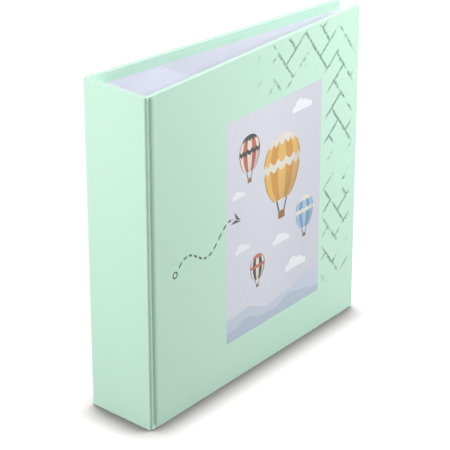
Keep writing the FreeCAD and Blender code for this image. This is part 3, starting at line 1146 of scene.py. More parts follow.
@dataclass(frozen=True)
class PocketFilm(Finish):
    """Clear film, milky along its welds."""

    tint: Colour = paint(226, 229, 240)
    weld_tint: Colour = paint(208, 215, 224)
    # how far it hides what is under it, how much more a weld does, and the ribs of a weld's press
    veil: float = 0.22
    weld_veil: float = 0.5
    rib_pitch: float = 1.208

    def dress(self, bench: ShaderBench) -> None:
        """Lays out the material's nodes.

        Args:
            bench: The material's bench.
        """
        place = bench.place(Lay.FLAT)
        seam = bench.ramp(bench.worn(), start=0.35, end=0.65)
        bench.set(Base_Color=bench.mix(seam, self.tint, self.weld_tint))
        bench.set(Alpha=bench.sum_of(self.veil, (seam, self.weld_veil)))
        bench.set(Roughness=bench.sum_of(0.1, (seam, 0.2)))
        wave = bench.noise(bench.stretch(place, (1.0, 1.0, 0.5)), grain=26.0)
        pressing = bench.math("SINE", bench.math("MULTIPLY", bench.axes(place)[2], math.tau / self.rib_pitch))
        ribs = bench.math("MULTIPLY", bench.math("MULTIPLY", pressing, 0.5), seam)
        bench.relief((wave, 0.35), (ribs, 0.02))


@dataclass(frozen=True)
class Greyboard(Finish):
    """Pressed grey board with flecks."""

    grey: Colour = paint(190, 184, 174)
    dark: Colour = paint(158, 151, 141)
    fleck: Colour = paint(118, 108, 98)

    def dress(self, bench: ShaderBench) -> None:
        """Lays out the material's nodes.

        Args:
            bench: The material's bench.
        """
        place = bench.place(Lay.NODE)
        felt = bench.noise(place, grain=1.6, detail=5.0, rough=0.7)
        flecks = bench.ramp(bench.noise(place, grain=0.8), start=0.66, end=0.72)
        colour = bench.mix(felt, self.grey, self.dark)
        bench.set(Base_Color=bench.mix(flecks, colour, self.fleck), Roughness=0.9)
        bench.relief((felt, 0.05))


@dataclass(frozen=True)
class Gauze(Finish):
    """Open-woven binding gauze, stiff with glue."""

    thread: Colour = paint(238, 236, 228)
    gap: Colour = paint(205, 201, 190)
    pitch: float = 0.9

    def dress(self, bench: ShaderBench) -> None:
        """Lays out the material's nodes.

        Args:
            bench: The material's bench.
        """
        place = bench.place(Lay.NODE)
        _, across, up = bench.axes(place)
        turn = math.tau / self.pitch
        weft = bench.math("SINE", bench.math("MULTIPLY", up, turn))
        warp = bench.math("SINE", bench.math("MULTIPLY", across, turn))
        threads = bench.ramp(bench.any_of(weft, warp), start=0.1, end=0.8)
        glue = bench.noise(place, grain=5.0, detail=3.0)
        share = bench.sum_of(threads, (glue, 0.25))
        bench.set(Base_Color=bench.mix(share, self.gap, self.thread))
        bench.set(Roughness=bench.sum_of(0.6, (glue, 0.3)))
        bench.relief((threads, 0.1))


class Finishes:
    """The album's finishes."""

    plain_wrap = Laminate("mint laminated paper", "printed_wrap")
    # the same mint paper on the covers' inner faces, painted darker as shade
    turned_wrap = Laminate(
        "mint paper pressed flat inside",
        "printed_wrap",
        mint=paint(195, 231, 213),
        deep_mint=paint(188, 226, 205),
    )
    cover_print = Laminate("printed laminated cover", "printed_wrap", printed=True)
    endpaper = Paper("white endpaper", "endpaper")
    liner = Paper("spine liner paper", "endpaper", lay=Lay.NODE)
    leaf_card = LeafCard("bluish white leaf card", "leaf_card")
    strip_card = LeafCard(
        "cut card strips",
        "leaf_card",
        lay=Lay.NODE,
        ruled=False,
        # the strips' edges, with painted shade in the gaps between them
        layers=0.517,
        white=paint(247, 247, 255),
        shade=paint(222, 224, 240),
    )
    pocket_film = PocketFilm("clear pocket film", "pocket_film")
    greyboard = Greyboard("grey binder's board", "greyboard")
    gauze = Gauze("binding gauze", "mull")


# ---------------------------------------------------------------------------
# mesh work
# ---------------------------------------------------------------------------


class Blank:
    """A mesh that is being shaped flat, in millimetres, before it takes its place."""

    def __init__(self) -> None:
        """Starts an empty mesh without wear."""
        self.bm = bmesh.new()
        self.wear: Wear = lambda spot: 0.0

    def add_block(self, low: Sequence[float], high: Sequence[float]) -> list[BMFace]:
        """Adds a block between two corners.

        Args:
            low: The lowest corner.
            high: The highest corner.

        Returns:
            The block's faces.
        """
        low, high = Vector(low), Vector(high)
        middle = Matrix.Translation((low + high) / 2)
        size = Matrix.Diagonal((*(high - low), 1))
        made = bmesh.ops.create_cube(self.bm, size=1.0, matrix=middle @ size)
        return list({face for vert in made["verts"] for face in vert.link_faces})

    def add_sheet(self, lines: Sequence[Sequence[Vector]]) -> None:
        """Adds a sheet that is laid through rows of points.

        Args:
            lines: The rows, all with as many points.
        """
        columns, rows = len(lines[0]), len(lines)
        to_index = Matrix.Translation(((columns - 1) / 2, (rows - 1) / 2, 0))
        to_index = to_index @ Matrix.Diagonal((columns - 1, rows - 1, 1, 1))
        made = bmesh.ops.create_grid(
            self.bm, x_segments=columns - 1, y_segments=rows - 1, size=0.5, matrix=to_index
        )
        for vert in made["verts"]:
            vert.co = lines[round(vert.co.y)][round(vert.co.x)]

    def edges(self, *tests: Test) -> list[BMEdge]:
        """The edges whose two ends pass every test."""
        return [e for e in self.bm.edges if all(test(v.co) for test in tests for v in e.verts)]

    def edges_along(self, axis: Axis, *tests: Test) -> list[BMEdge]:
        """The edges that run along an axis and whose two ends pass every test."""
        ways = {e: (e.verts[0].co - e.verts[1].co).normalized() for e in self.edges(*tests)}
        return [edge for edge, way in ways.items() if abs(way[axis]) > ALONG]

    def faces(self, *tests: Test) -> list[BMFace]:
        """The faces whose corners all pass every test."""
        return [f for f in self.bm.faces if all(test(v.co) for test in tests for v in f.verts)]

    def round(self, edges: list[BMEdge], radius: float, segments: int = 4) -> None:
        """Rounds some edges.

        Args:
            edges: The edges.
            radius: The radius.
            segments: How many steps the rounding has.
        """
        bmesh.ops.bevel(
            self.bm,
            geom=edges,
            offset=radius,
            offset_type="OFFSET",
            segments=segments,
            profile=0.5,
            affect="EDGES",
            material=-1,
        )

    def cut(self, spot: Sequence[float], normal: Sequence[float], *tests: Test) -> list[BMEdge]:
        """Cuts the faces that pass some tests along a plane and keeps both halves.

        Args:
            spot: A point on the plane.
            normal: The plane's normal.
            *tests: What each corner of a face passes.

        Returns:
            The new edges along the cut.
        """
        faces = self.faces(*tests)
        around = {edge for face in faces for edge in face.edges}
        corners = {vert for face in faces for vert in face.verts}
        made = bmesh.ops.bisect_plane(
            self.bm, geom=[*faces, *around, *corners], plane_co=spot, plane_no=normal
        )
        return [part for part in made["geom_cut"] if isinstance(part, BMEdge)]

    def paint(self, test: Test, number: int) -> None:
        """Gives the faces whose corners pass a test one of the piece's finishes, by its number."""
        for face in self.faces(test):
            face.material_index = number

    def remove(self, faces: list[BMFace]) -> None:
        """Takes faces away."""
        bmesh.ops.delete(self.bm, geom=faces, context="FACES")

    def thicken(self, thickness: float) -> None:
        """Gives an open skin a thickness on its inner side, with its rim closed."""
        self.bm.normal_update()
        bmesh.ops.solidify(self.bm, geom=self.bm.faces[:], thickness=thickness)

    def finish(self, name: str, matrix: Matrix, *finishes: Finish) -> Object:
        """Puts the mesh in its place and makes it an object with its finishes.

        Args:
            name: The piece's name.
            matrix: Takes the flat piece to its place in the album.
            *finishes: The finishes, in the order of the faces' material numbers.

        Returns:
            The piece.
        """
        worn = self.bm.verts.layers.float.new(WEAR)
        flat = self.bm.verts.layers.float_vector.new(Lay.FLAT.value)
        laid = self.bm.verts.layers.float_vector.new(Lay.LAID.value)
        for vert in self.bm.verts:
            vert[worn] = self.wear(vert.co)
            vert[flat] = vert.co
            vert[laid] = matrix @ vert.co
        self.bm.transform(matrix)
        if matrix.determinant() < 0:
            bmesh.ops.reverse_faces(self.bm, faces=self.bm.faces[:])
        bmesh.ops.scale(self.bm, vec=(MM, MM, MM), verts=self.bm.verts[:])
        mesh = bpy.data.meshes.new(name)
        self.bm.to_mesh(mesh)
        self.bm.free()
        for finish in finishes:
            mesh.materials.append(finish.material())
        mesh.shade_smooth()
        mesh.set_sharp_from_angle(angle=SHARP_ANGLE)
        piece = bpy.data.objects.new(name, mesh)
        bpy.context.scene.collection.objects.link(piece)
        piece.modifiers.new("even shading", "WEIGHTED_NORMAL").keep_sharp = True
        return piece


def near(axis: Axis, *levels: float, within: float = CLOSE) -> Test:
    """A test that a point lies on one of some levels of an axis, or within a distance of it."""
    return lambda spot: any(abs(spot[axis] - level) < within for level in levels)


def ease(share: float) -> float:
    """Goes smoothly from 0 to 1."""
    share = min(max(share, 0.0), 1.0)
    return share * share * (3 - 2 * share)


def spread(low: float, high: float, steps: int) -> list[float]:
    """Evenly spaced numbers from low to high, both included."""
    return [low + (high - low) * i / steps for i in range(steps + 1)]


# ---------------------------------------------------------------------------
# places
# ---------------------------------------------------------------------------


class Places:
    """Where things are in the frame, in millimetres."""

    def __init__(self, frame: dict) -> None:
        """Takes the joints from the loaded frame."""
        self.joints = {joint["name"]: joint for joint in frame["joints"]}

    def box(self, node: str) -> tuple[Vector, Vector]:
        """The lowest and highest corner of a node."""
        low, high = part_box(node)
        return low / MM, high / MM

    def axis(self, joint: str) -> Vector:
        """A point on a joint's axis, at the album's foot."""
        at = Vector(self.joints[joint]["pos_m"]) / MM
        return Vector((at.x, at.y, 0))

    def cover(self, side: Side, sizes: "CaseSizes") -> Matrix:
        """Takes a cover drawn flat, from its hinge along X, to its place.

        Args:
            side: Which cover.
            sizes: The sizes of the case.

        Returns:
            The placing.
        """
        low, high = self.box("front_board")
        board_width = sizes.cover_width - sizes.wrap
        lean = math.asin((high.y - low.y - sizes.board) / board_width)
        hinge = Matrix.Translation(self.axis("front_cover_hinge"))
        return side.turn @ hinge @ Matrix.Rotation(lean, 4, "Z")


class SubAssembly:
    """What all sub-assemblies do with their finished pieces."""

    def ride(self, piece: Object, body: str, finish: Finish, *nodes: str) -> Object:
        """Puts a piece, with its main finish, on its body, in place of some CAD nodes."""
        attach(piece, body)
        return self.declare(piece, finish, body, nodes)

    def bend(
        self, piece: Object, bodies: tuple[str, str], ends: tuple[Vector, Vector], finish: Finish, *nodes: str
    ) -> Object:
        """Bakes a piece's placing into its mesh in place of some CAD nodes, and names the two bodies in the
        log.
        """
        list(bodies)
        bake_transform(piece)
        return self.declare(piece, finish, " to ".join(bodies), nodes)

    def declare(self, piece: Object, finish: Finish, where: str, nodes: Sequence[str]) -> Object:
        """Hides the CAD nodes that a piece stands for, and reports it.

        Args:
            piece: The piece.
            finish: Its main finish.
            where: The body or bodies that it moves with, for the report.
            nodes: The CAD nodes that it stands for.

        Returns:
            The piece.
        """
        if nodes:
            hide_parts(*nodes)
        log.info("%s on %s: %d faces, %s", piece.name, where, len(piece.data.polygons), finish.name)
        return piece

    def dress_node(self, frame: dict, node: str, finish: Finish) -> None:
        """Gives a CAD node that stays in view its finish.

        Args:
            frame: The loaded frame.
            node: The node's name.
            finish: Its finish.
        """
        shown = frame["nodes"][node]
        shown.data.materials.clear()
        shown.data.materials.append(finish.material())
        log.info("%s kept from the frame: %s", node, finish.name)


# ---------------------------------------------------------------------------
# the case
# ---------------------------------------------------------------------------


@dataclass(frozen=True)
class CaseSizes:
    """The sizes of the case."""

    height: float = 225.0
    cover_width: float = 214.0
    board: float = 2.2
    wrap: float = 0.25
    turn_in: float = 15.0
    corner_radius: float = 2.0
    edge_radius: float = 0.6
    spine_edge_radius: float = 1.75
    # how far in from its edges a face is rubbed, and the scored seam of a mitre
    rubbed_edge: float = 1.9
    score_width: float = 0.22
    score_depth: float = 0.1
    # a cover, drawn from its hinge: where it starts, and the hinge's depth under its face
    hinge_reach: float = 4.5
    hinge_inset: float = 1.0
    # the groove over the hinge: its depth, the share of its width where it is deepest, how steeply it
    # comes up to the cover, how far from the head it fades and what is left of it there
    groove_depth: float = 1.4
    groove_floor: float = 0.2
    groove_rise: float = 3.4
    groove_lip: float = 4.2
    groove_rest: float = 0.12
    groove_skin: float = 0.2
    # pressed by hand, it isn't equally deep all along: by how much, and the lengths of its two waves
    groove_unevenness: float = 0.06
    groove_waves: tuple[float, float] = (17.0, 7.3)
    # the strip over the hinge: how thick its turned-in ends make it, and how much more at the cover
    joint_thickness: float = 2.4
    joint_flare: float = 0.28
    joint_lap: float = 0.2
    # how far its turned-in ends go on under the pasted endpaper
    flap_lap: float = 0.4
    # endpapers: how far the pasted half starts before the cover does, how deep it sinks inside the
    # turn-ins, and half the width of that step
    paper: float = 0.15
    paste_margin: float = 8.0
    paste_ahead: float = 0.1
    ledge: float = 0.2
    ledge_slope: float = 1.2
    # the endpaper's fold from the hinge's axis: where it leaves the block, and its bottom along X and Y
    paper_lift: float = 2.1
    paper_valley: tuple[float, float] = (0.35, 1.95)
    # how much of its half to the cover turns with the hinge, and its lap on the pasted half
    paper_turn: float = 0.28
    paper_lap: float = 0.5
    # how much its half at the block and its half to the cover bow
    paper_bows: tuple[float, float] = (0.3, 0.25)

    @property
    def inside(self) -> float:
        """The level of a cover's inner face, with the hinge at 0."""
        return self.board + 2 * self.wrap - self.hinge_inset


@dataclass
class Case(SubAssembly):
    """The hard case: three wrapped boards, the grooves between them and the endpapers inside."""

    frame: dict
    places: Places
    sizes: CaseSizes = field(default_factory=CaseSizes)

    def build(self) -> None:
        """Makes and places every piece of the case."""
        self.spine_wrap()
        for side in Side:
            self.cover_wrap(side)
            self.groove(side)
            self.pastedown(side)
            self.endpaper_fold(side)
            self.dress_node(self.frame, f"{side.word}_board", Finishes.greyboard)
        self.dress_node(self.frame, "spine_board", Finishes.greyboard)
        self.dress_node(self.frame, "spine_liner", Finishes.liner)

    def edge_wear(self, low: Vector, high: Vector, axes: Sequence[Axis]) -> Wear:
        """How rubbed a wrapped board is: fully on its edges, fading inwards.

        Args:
            low: The board's lowest corner.
            high: The board's highest corner.
            axes: The axes along which the board is long.

        Returns:
            The wear at a point, from 0 to 1.
        """

        def wear(spot: Vector) -> float:
            """The wear at a point."""
            gap = min(min(spot[a] - low[a], high[a] - spot[a]) for a in axes)
            return 1.0 - ease(gap / self.sizes.rubbed_edge)

        return wear

    def spine_wrap(self) -> None:
        """Makes the wrap round the spine board, with its head and tail turned in."""
        sizes = self.sizes
        low, high = self.places.box("spine_wrap")
        inner = self.places.box("spine_board")[1].x
        blank = Blank()
        blank.add_block(low, (inner, high.y, high.z))
        face = near(Axis.X, low.x)
        blank.round(blank.edges_along(Axis.Z, face), sizes.spine_edge_radius, segments=8)
        ends = blank.edges(near(Axis.Z, low.z)) + blank.edges(near(Axis.Z, high.z))
        blank.round([e for e in ends if not self.all_on(e, Axis.X, inner)], sizes.edge_radius)
        self.rub_rim(blank, face)
        blank.remove(blank.faces(near(Axis.X, inner)))
        blank.thicken(sizes.wrap)
        flap = high.y - 4 * sizes.wrap
        for edge, way in ((low.z, 1), (high.z, -1)):
            tail, head = sorted((edge + way * sizes.wrap, edge + way * sizes.turn_in))
            blank.add_block((inner - sizes.wrap, -flap, tail), (high.x, flap, head))
        blank.wear = self.edge_wear(low, high, (Axis.Y, Axis.Z))
        piece = blank.finish("spine_cloth", Matrix(), Finishes.plain_wrap)
        self.ride(piece, "spine", Finishes.plain_wrap, "spine_wrap")

    @staticmethod
    def all_on(edge: BMEdge, axis: Axis, level: float) -> bool:
        """Whether both ends of an edge lie on a level of an axis."""
        return all(near(axis, level)(vert.co) for vert in edge.verts)

    def rub_rim(self, blank: Blank, face: Test) -> None:
        """Sets off the rim of a flat face, whose corners pass a test, so that its wear can fade there."""
        rim = self.sizes.rubbed_edge - self.sizes.edge_radius
        bmesh.ops.inset_region(blank.bm, faces=blank.faces(face), thickness=rim, use_even_offset=True)

    def cover_wrap(self, side: Side) -> None:
        """Makes the wrap round a cover's board, turned in on three edges with mitred corners.

        Args:
            side: Which cover.
        """
        sizes = self.sizes
        start, end = sizes.hinge_reach, sizes.hinge_reach + sizes.cover_width
        outside, inside = -sizes.hinge_inset, sizes.inside
        blank = Blank()
        blank.add_block((start, outside, 0), (end, inside, sizes.height))
        blank.round(blank.edges_along(Axis.Y, near(Axis.X, end)), sizes.corner_radius, segments=8)
        for level in (outside, inside):
            outline = [e for e in blank.edges(near(Axis.Y, level)) if not self.all_on(e, Axis.X, start)]
            blank.round(outline, sizes.edge_radius)
        self.rub_rim(blank, near(Axis.Y, outside))
        self.turn_in(blank, start, end)
        # the inner faces take the darker mint, which is painted shade
        finishes = [Finishes.plain_wrap, Finishes.turned_wrap]
        blank.paint(near(Axis.Y, inside), finishes.index(Finishes.turned_wrap))
        if side is Side.FRONT:
            finishes.append(Finishes.cover_print)
            blank.paint(near(Axis.Y, outside), finishes.index(Finishes.cover_print))
        blank.thicken(sizes.wrap)
        # the edge at the hinge isn't rubbed, so the wear's box starts well before it
        rubbed_from = Vector((start - sizes.turn_in, 0, 0))
        blank.wear = self.edge_wear(rubbed_from, Vector((end, 0, sizes.height)), (Axis.X, Axis.Z))
        piece = blank.finish(f"{side.word}_cover_cloth", self.places.cover(side, sizes), *finishes)
        self.ride(piece, f"{side.word}_cover", Finishes.plain_wrap, f"{side.word}_wrap")

    def turn_in(self, blank: Blank, start: float, end: float) -> None:
        """Opens a cover's inner face inside its turn-ins and scores their mitres.

        Args:
            blank: The cover's wrap.
            start: Where the cover starts, from its hinge.
            end: Where it ends.
        """
        sizes = self.sizes
        on_face = near(Axis.Y, sizes.inside)
        fore, tail, head = end - sizes.turn_in, sizes.turn_in, sizes.height - sizes.turn_in
        blank.cut((fore, 0, 0), (1, 0, 0), on_face)
        for level in (tail, head):
            blank.cut((0, 0, level), (0, 0, 1), on_face)
        for level, slant in ((tail, 1), (head, -1)):
            corner = [on_face, lambda v: v.x > fore - CLOSE, lambda v: (v.z - level) * slant < CLOSE]
            self.score(blank, blank.cut((fore, 0, level), (1, 0, slant), *corner))
        window = [on_face, lambda v: v.x < fore + CLOSE, lambda v: tail - CLOSE < v.z < head + CLOSE]
        blank.remove(blank.faces(*window) + blank.faces(near(Axis.X, start)))

    def score(self, blank: Blank, edges: list[BMEdge]) -> None:
        """Presses a fine seam into a flat face along some edges.

        Args:
            blank: The mesh.
            edges: The edges along the seam.
        """
        before = set(blank.bm.verts)
        blank.round(edges, self.sizes.score_width, segments=2)
        groove = [v for v in blank.bm.verts if v not in before and len(v.link_edges) == 4]
        bmesh.ops.translate(blank.bm, verts=groove, vec=(0, -self.sizes.score_depth, 0))

    def groove(self, side: Side) -> None:
        """Makes the wrap's strip over a hinge, pressed into a groove that fades at head and tail.

        Args:
            side: Which hinge.
        """
        sizes = self.sizes
        cover = self.places.cover(Side.FRONT, sizes)
        spine_low, spine_high = self.places.box("spine_board")
        start = Vector((spine_high.x, self.places.box("spine_wrap")[0].y, 0))
        end = cover @ Vector((sizes.hinge_reach, -sizes.hinge_inset, 0))
        floor = sizes.groove_floor
        shares = spread(0, floor, steps=10) + spread(floor, 1, steps=16)[1:]
        blank = Blank()
        blank.add_sheet([
            [self.groove_point(start, end, share, up, inwards) for share in shares]
            for up, inwards in self.groove_rows()
        ])
        blank.thicken(sizes.groove_skin)
        piece = blank.finish(f"{side.word}_joint_cloth", side.turn, Finishes.plain_wrap)
        bodies, bend = self.round_hinge(side, start, end - Vector((sizes.joint_lap, 0, 0)))
        self.bend(piece, bodies, bend, Finishes.plain_wrap, f"{side.word}_groove")

    @staticmethod
    def round_hinge(
        side: Side, start: Vector, end: Vector
    ) -> tuple[tuple[str, str], tuple[Vector, Vector]]:
        """The bodies and the ends of a bend over a hinge.

        A half turn could go either way round. The front hinge's bodies and ends are told cover first,
        and the back hinge's spine first.

        Args:
            side: Which hinge.
            start: Where the bend leaves the spine, drawn for the front hinge.
            end: Where it reaches the cover.

        Returns:
            The two bodies, and the bend's end on each.
        """
        bodies, ends = ("spine", f"{side.word}_cover"), (side.turn @ start, side.turn @ end)
        if side is Side.FRONT:
            return bodies[::-1], ends[::-1]
        return bodies, ends

    def groove_rows(self) -> list[tuple[float, float]]:
        """The rows of points that the strip is laid through.

        Returns:
            Each row's height and how far inside it is turned, from the tail's flap to the head's.
        """
        sizes = self.sizes
        radius, depth = sizes.edge_radius, sizes.joint_thickness
        quarter = spread(0, math.pi / 2, steps=5)
        inner = [(radius * (1 - math.sin(a)), depth - radius * (1 - math.cos(a))) for a in quarter]
        outer = [(radius * (1 - math.cos(a)), radius * (1 - math.sin(a))) for a in quarter]
        flap = [(sizes.paste_margin + sizes.flap_lap, depth), (sizes.paste_margin / 2, depth)]
        # close together where the groove fades
        near_end = [1.2, 1.8, 2.4, 3.2, 4.2, 6.0]
        tail = [*flap, *inner, *outer, *((up, 0.0) for up in near_end)]
        head = [(sizes.height - up, inwards) for up, inwards in reversed(tail)]
        between = spread(near_end[-1], sizes.height - near_end[-1], steps=30)[1:-1]
        middle = [(up, 0.0) for up in between]
        return tail + middle + head

    def groove_point(self, start: Vector, end: Vector, share: float, up: float, inwards: float) -> Vector:
        """A point of the strip over the front hinge.

        Args:
            start: Where the strip leaves the spine.
            end: Where it meets the cover.
            share: How far across the strip the point is, from 0 to 1.
            up: The point's height.
            inwards: How far the head or tail is turned in there.

        Returns:
            The point.
        """
        sizes = self.sizes
        floor = sizes.groove_floor
        if share < floor:
            press = ease(share / floor)
        else:
            press = ((1 - share) / (1 - floor)) ** sizes.groove_rise
        from_end = min(up, sizes.height - up)
        lip = sizes.groove_rest + (1 - sizes.groove_rest) * ease(from_end / sizes.groove_lip)
        long_wave, short_wave = (math.sin(up / length) for length in sizes.groove_waves)
        uneven = 1 + sizes.groove_unevenness * long_wave * short_wave
        depth = sizes.groove_depth * lip * uneven * (1 - inwards / sizes.joint_thickness)
        deeper = 1 + sizes.joint_flare / sizes.joint_thickness * share
        return start.lerp(end, share) + Vector((0, press * depth + inwards * deeper, up))

    def pastedown(self, side: Side) -> None:
        """Makes the endpaper's half on a cover, which sinks a little inside the turn-ins.

        Args:
            side: Which cover.
        """
        sizes = self.sizes
        start = sizes.hinge_reach - sizes.paste_ahead
        end = sizes.hinge_reach + sizes.cover_width - sizes.paste_margin
        tail, head = sizes.paste_margin, sizes.height - sizes.paste_margin
        # the paper steps down over the inner edge of the turn-ins, where its points lie close together
        ledge, slope = sizes.turn_in - sizes.paste_margin, sizes.ledge_slope
        near_edge = [0.0, 0.4, ledge - 1.6, ledge - 0.8, ledge, ledge + 0.8, ledge + 1.6]
        far_edge = near_edge[::-1]
        flat = spread(start + 8, end - far_edge[0] - 6, steps=6)
        across = [start, *flat, *(end - gap for gap in far_edge)]
        upwards = [tail + gap for gap in near_edge]
        upwards += spread(tail + ledge + 10, head - ledge - 10, steps=6)
        upwards += [head - gap for gap in far_edge]

        def level(along: float, up: float) -> float:
            """How far the paper's face is from the hinge."""
            sunk = ease((min(end - along, up - tail, head - up) - ledge + slope) / (2 * slope))
            return sizes.inside + sizes.paper - sizes.ledge * sunk

        blank = Blank()
        blank.add_sheet([
            [Vector((along, level(along, up), up)) for along in reversed(across)] for up in upwards
        ])
        blank.thicken(sizes.paper)
        piece = blank.finish(f"{side.word}_paste_paper", self.places.cover(side, sizes), Finishes.endpaper)
        self.ride(piece, f"{side.word}_cover", Finishes.endpaper, f"{side.word}_pastedown")

    def endpaper_fold(self, side: Side) -> None:
        """Makes the endpaper's fold in two halves, which meet at its bottom in the hinge.

        The half on the block rides on the spine, and the half out to the cover stays where it is drawn.

        Args:
            side: Which hinge.
        """
        sizes = self.sizes
        cover = self.places.cover(Side.FRONT, sizes)
        low, high = self.places.box("front_endpaper_fold")
        hinge = self.places.axis("front_cover_hinge")
        crease = Vector((high.x, high.y, 0))
        lift_off = Vector((hinge.x + sizes.paper_lift, high.y, 0))
        valley = hinge + Vector((*sizes.paper_valley, 0))
        paper_face = sizes.inside + sizes.paper - sizes.ledge
        end = cover @ Vector((sizes.hinge_reach + sizes.paper_lap, paper_face, 0))
        inner_bow, outer_bow = sizes.paper_bows
        inwards = [crease.lerp(lift_off, s) for s in spread(0, 1, steps=5)]
        inwards += [self.bow(lift_off, valley, s, inner_bow) for s in spread(0, 1, steps=8)[1:]]
        # its points lie close together at the bottom, where it bends most
        outwards = [self.bow(valley, end, s**2, outer_bow) for s in spread(0, 1, steps=24)]
        rows = spread(low.z, high.z, steps=12)
        pieces = []
        for name, path in (("gutter", inwards), ("hinge", outwards)):
            blank = Blank()
            blank.add_sheet([[spot + Vector((0, 0, up)) for spot in path] for up in rows])
            blank.thicken(sizes.paper)
            pieces.append(blank.finish(f"{side.word}_{name}_paper", side.turn, Finishes.endpaper))
        self.ride(pieces[0], "spine", Finishes.endpaper)
        bodies, bend = self.round_hinge(side, valley, valley.lerp(end, sizes.paper_turn))
        self.bend(pieces[1], bodies, bend, Finishes.endpaper, f"{side.word}_endpaper_fold")

    @staticmethod
    def bow(start: Vector, end: Vector, share: float, rise: float) -> Vector:
        """A point, a share of the way along a line that rises a little in its middle."""
        return start.lerp(end, share) + Vector((0, rise * math.sin(math.pi * share), 0))


# ---------------------------------------------------------------------------
# the block
# ---------------------------------------------------------------------------


@dataclass(frozen=True)
class LeafSizes:
    """The sizes of a leaf, drawn from its crease, and the number of leaves."""

    count: int = 42
    height: float = 225.0
    square: float = 7.0
    card: float = 0.18
    film: float = 0.03
    leaf_gap: float = 0.08
    slit: float = 0.4
    memo: float = 43.0
    memo_margin: float = 6.0
    # the rim of card beyond a pocket, the width of its weld, and the weld's pressed edge
    weld: float = 1.0
    seam: float = 1.2
    seam_edge: float = 0.2
    corner_radius: float = 1.5
    settling: float = 0.35

    @property
    def fore_pitch(self) -> float:
        """From one leaf to the next at the fore-edge."""
        return self.card + 2 * self.film + self.leaf_gap

    def pockets(self) -> list[tuple[float, float]]:
        """The pockets on a face.

        Returns:
            The foot and head of each.
        """
        foot, head = self.square + self.weld, self.height - self.square - self.weld
        middle = self.height / 2
        return [(foot, middle - self.weld / 2), (middle + self.weld / 2, head)]


@dataclass
class Block(SubAssembly):
    """The bound block: its gauze back, stubs and guards, two flyleaves and the pocket leaves."""

    frame: dict
    places: Places
    sizes: LeafSizes = field(default_factory=LeafSizes)

    def build(self) -> None:
        """Makes and places every piece of the block."""
        self.dress_node(self.frame, "block_mull", Finishes.gauze)
        for node in ("leaf_stubs", "guard_strips"):
            self.dress_node(self.frame, node, Finishes.strip_card)
        for side in Side:
            self.flyleaf(side)
        for number in range(1, self.sizes.count + 1):
            self.leaf(number)

    def sheet_place(self, body: str, index: float) -> tuple[Matrix, float]:
        """Where a sheet lies that is drawn flat from its crease along X.

        Args:
            body: The sheet's body.
            index: Its number counted from the middle of the block, negative in front.

        Returns:
            The placing, and how far the sheet reaches.
        """
        crease = self.places.axis(f"{body}_crease")
        middle_leaf = f"leaf_{self.sizes.count // 2:02d}"
        reach = self.places.box(middle_leaf)[1].x - self.places.axis(f"{middle_leaf}_crease").x
        lean = math.atan2(index * self.sizes.fore_pitch - crease.y, reach)
        return Matrix.Translation(crease) @ Matrix.Rotation(lean, 4, "Z"), reach

    def bound_sheet(
        self, name: str, body: str, index: float, thickness: float, finish: Finish, tone: float = 0.0
    ) -> Object:
        """Makes a sheet with cuts across it at its crease.

        Args:
            name: The piece's name.
            body: The body of the sheet's free part.
            index: Its number counted from the middle of the block.
            thickness: How thick it is.
            finish: Its finish.
            tone: How dark it is against its neighbours, and how low its head has settled, from 0 to 1.

        Returns:
            The piece.
        """
        sizes = self.sizes
        place, reach = self.sheet_place(body, index)
        half, slit = thickness / 2, sizes.slit / 2
        blank = Blank()
        blank.wear = lambda spot: tone
        tail, head = sizes.square, sizes.height - sizes.square - sizes.settling * tone
        blank.add_block((-slit, -half, tail), (reach, half, head))
        blank.round(blank.edges_along(Axis.Y, near(Axis.X, reach)), sizes.corner_radius)
        for along in (-slit / 2, 0.0, slit / 2, slit):
            blank.cut((along, 0, 0), (1, 0, 0))
        piece = blank.finish(name, place, finish)
        ends = (place @ Vector((-slit, 0, 0)), place @ Vector((slit, 0, 0)))
        return self.bend(piece, ("spine", body), ends, finish, body)

    def flyleaf(self, side: Side) -> None:
        """Makes the free half of an endpaper.

        Args:
            side: Which side of the block it lies on.
        """
        index = side.value * (self.sizes.count + 1) / 2
        body = f"{side.word}_flyleaf"
        self.bound_sheet(f"{side.word}_fly_paper", body, index, CaseSizes.paper, Finishes.endpaper)

    def leaf(self, number: int) -> None:
        """Makes a leaf: its card, and the pockets on both its faces.

        Args:
            number: The leaf's number, from 1 at the front.
        """
        index = number - (self.sizes.count + 1) / 2
        body = f"leaf_{number:02d}"
        # two waves that don't repeat within the block
        tone = 0.5 + 0.5 * math.sin(2.1 * number) * math.cos(0.37 * number)
        self.bound_sheet(f"{body}_card", body, index, self.sizes.card, Finishes.leaf_card, tone)
        self.pockets(body, index)

    def pockets(self, body: str, index: float) -> None:
        """Makes the film pockets on a leaf's two faces.

        Args:
            body: The leaf's body.
            index: Its number counted from the middle of the block.
        """
        sizes = self.sizes
        place, reach = self.sheet_place(body, index)
        blank = Blank()
        mouth, end = sizes.memo, reach - sizes.weld
        for face in (-1, 1):
            levels = sorted((face * sizes.card / 2, face * (sizes.card / 2 + sizes.film)))
            for foot, head in sizes.pockets():
                made = blank.add_block((mouth, levels[0], foot), (end, levels[1], head))
                outer = [f for f in made if f.normal.y * face > ALONG]
                for thickness in (sizes.seam, sizes.seam_edge):
                    bmesh.ops.inset_region(blank.bm, faces=outer, thickness=thickness)
        blank.wear = self.weld_line(end)
        piece = blank.finish(f"{body}_pockets", place, Finishes.pocket_film)
        self.ride(piece, body, Finishes.pocket_film)

    def weld_line(self, end: float) -> Wear:
        """Where the film is welded to the card: along three sides of each pocket, but not at its mouth.

        Args:
            end: Where the pockets' far side is.

        Returns:
            1 at a point of a weld and 0 elsewhere.
        """
        # a little over a weld's width, so that it holds the points on its edge
        pockets, limit = self.sizes.pockets(), self.sizes.seam + 0.05

        def weld(spot: Vector) -> float:
            """1 on a weld."""
            gaps = [min(spot.z - foot, head - spot.z, end - spot.x) for foot, head in pockets]
            return 1.0 if max(gaps) < limit else 0.0

        return weld


# ---------------------------------------------------------------------------
# the studio
# ---------------------------------------------------------------------------


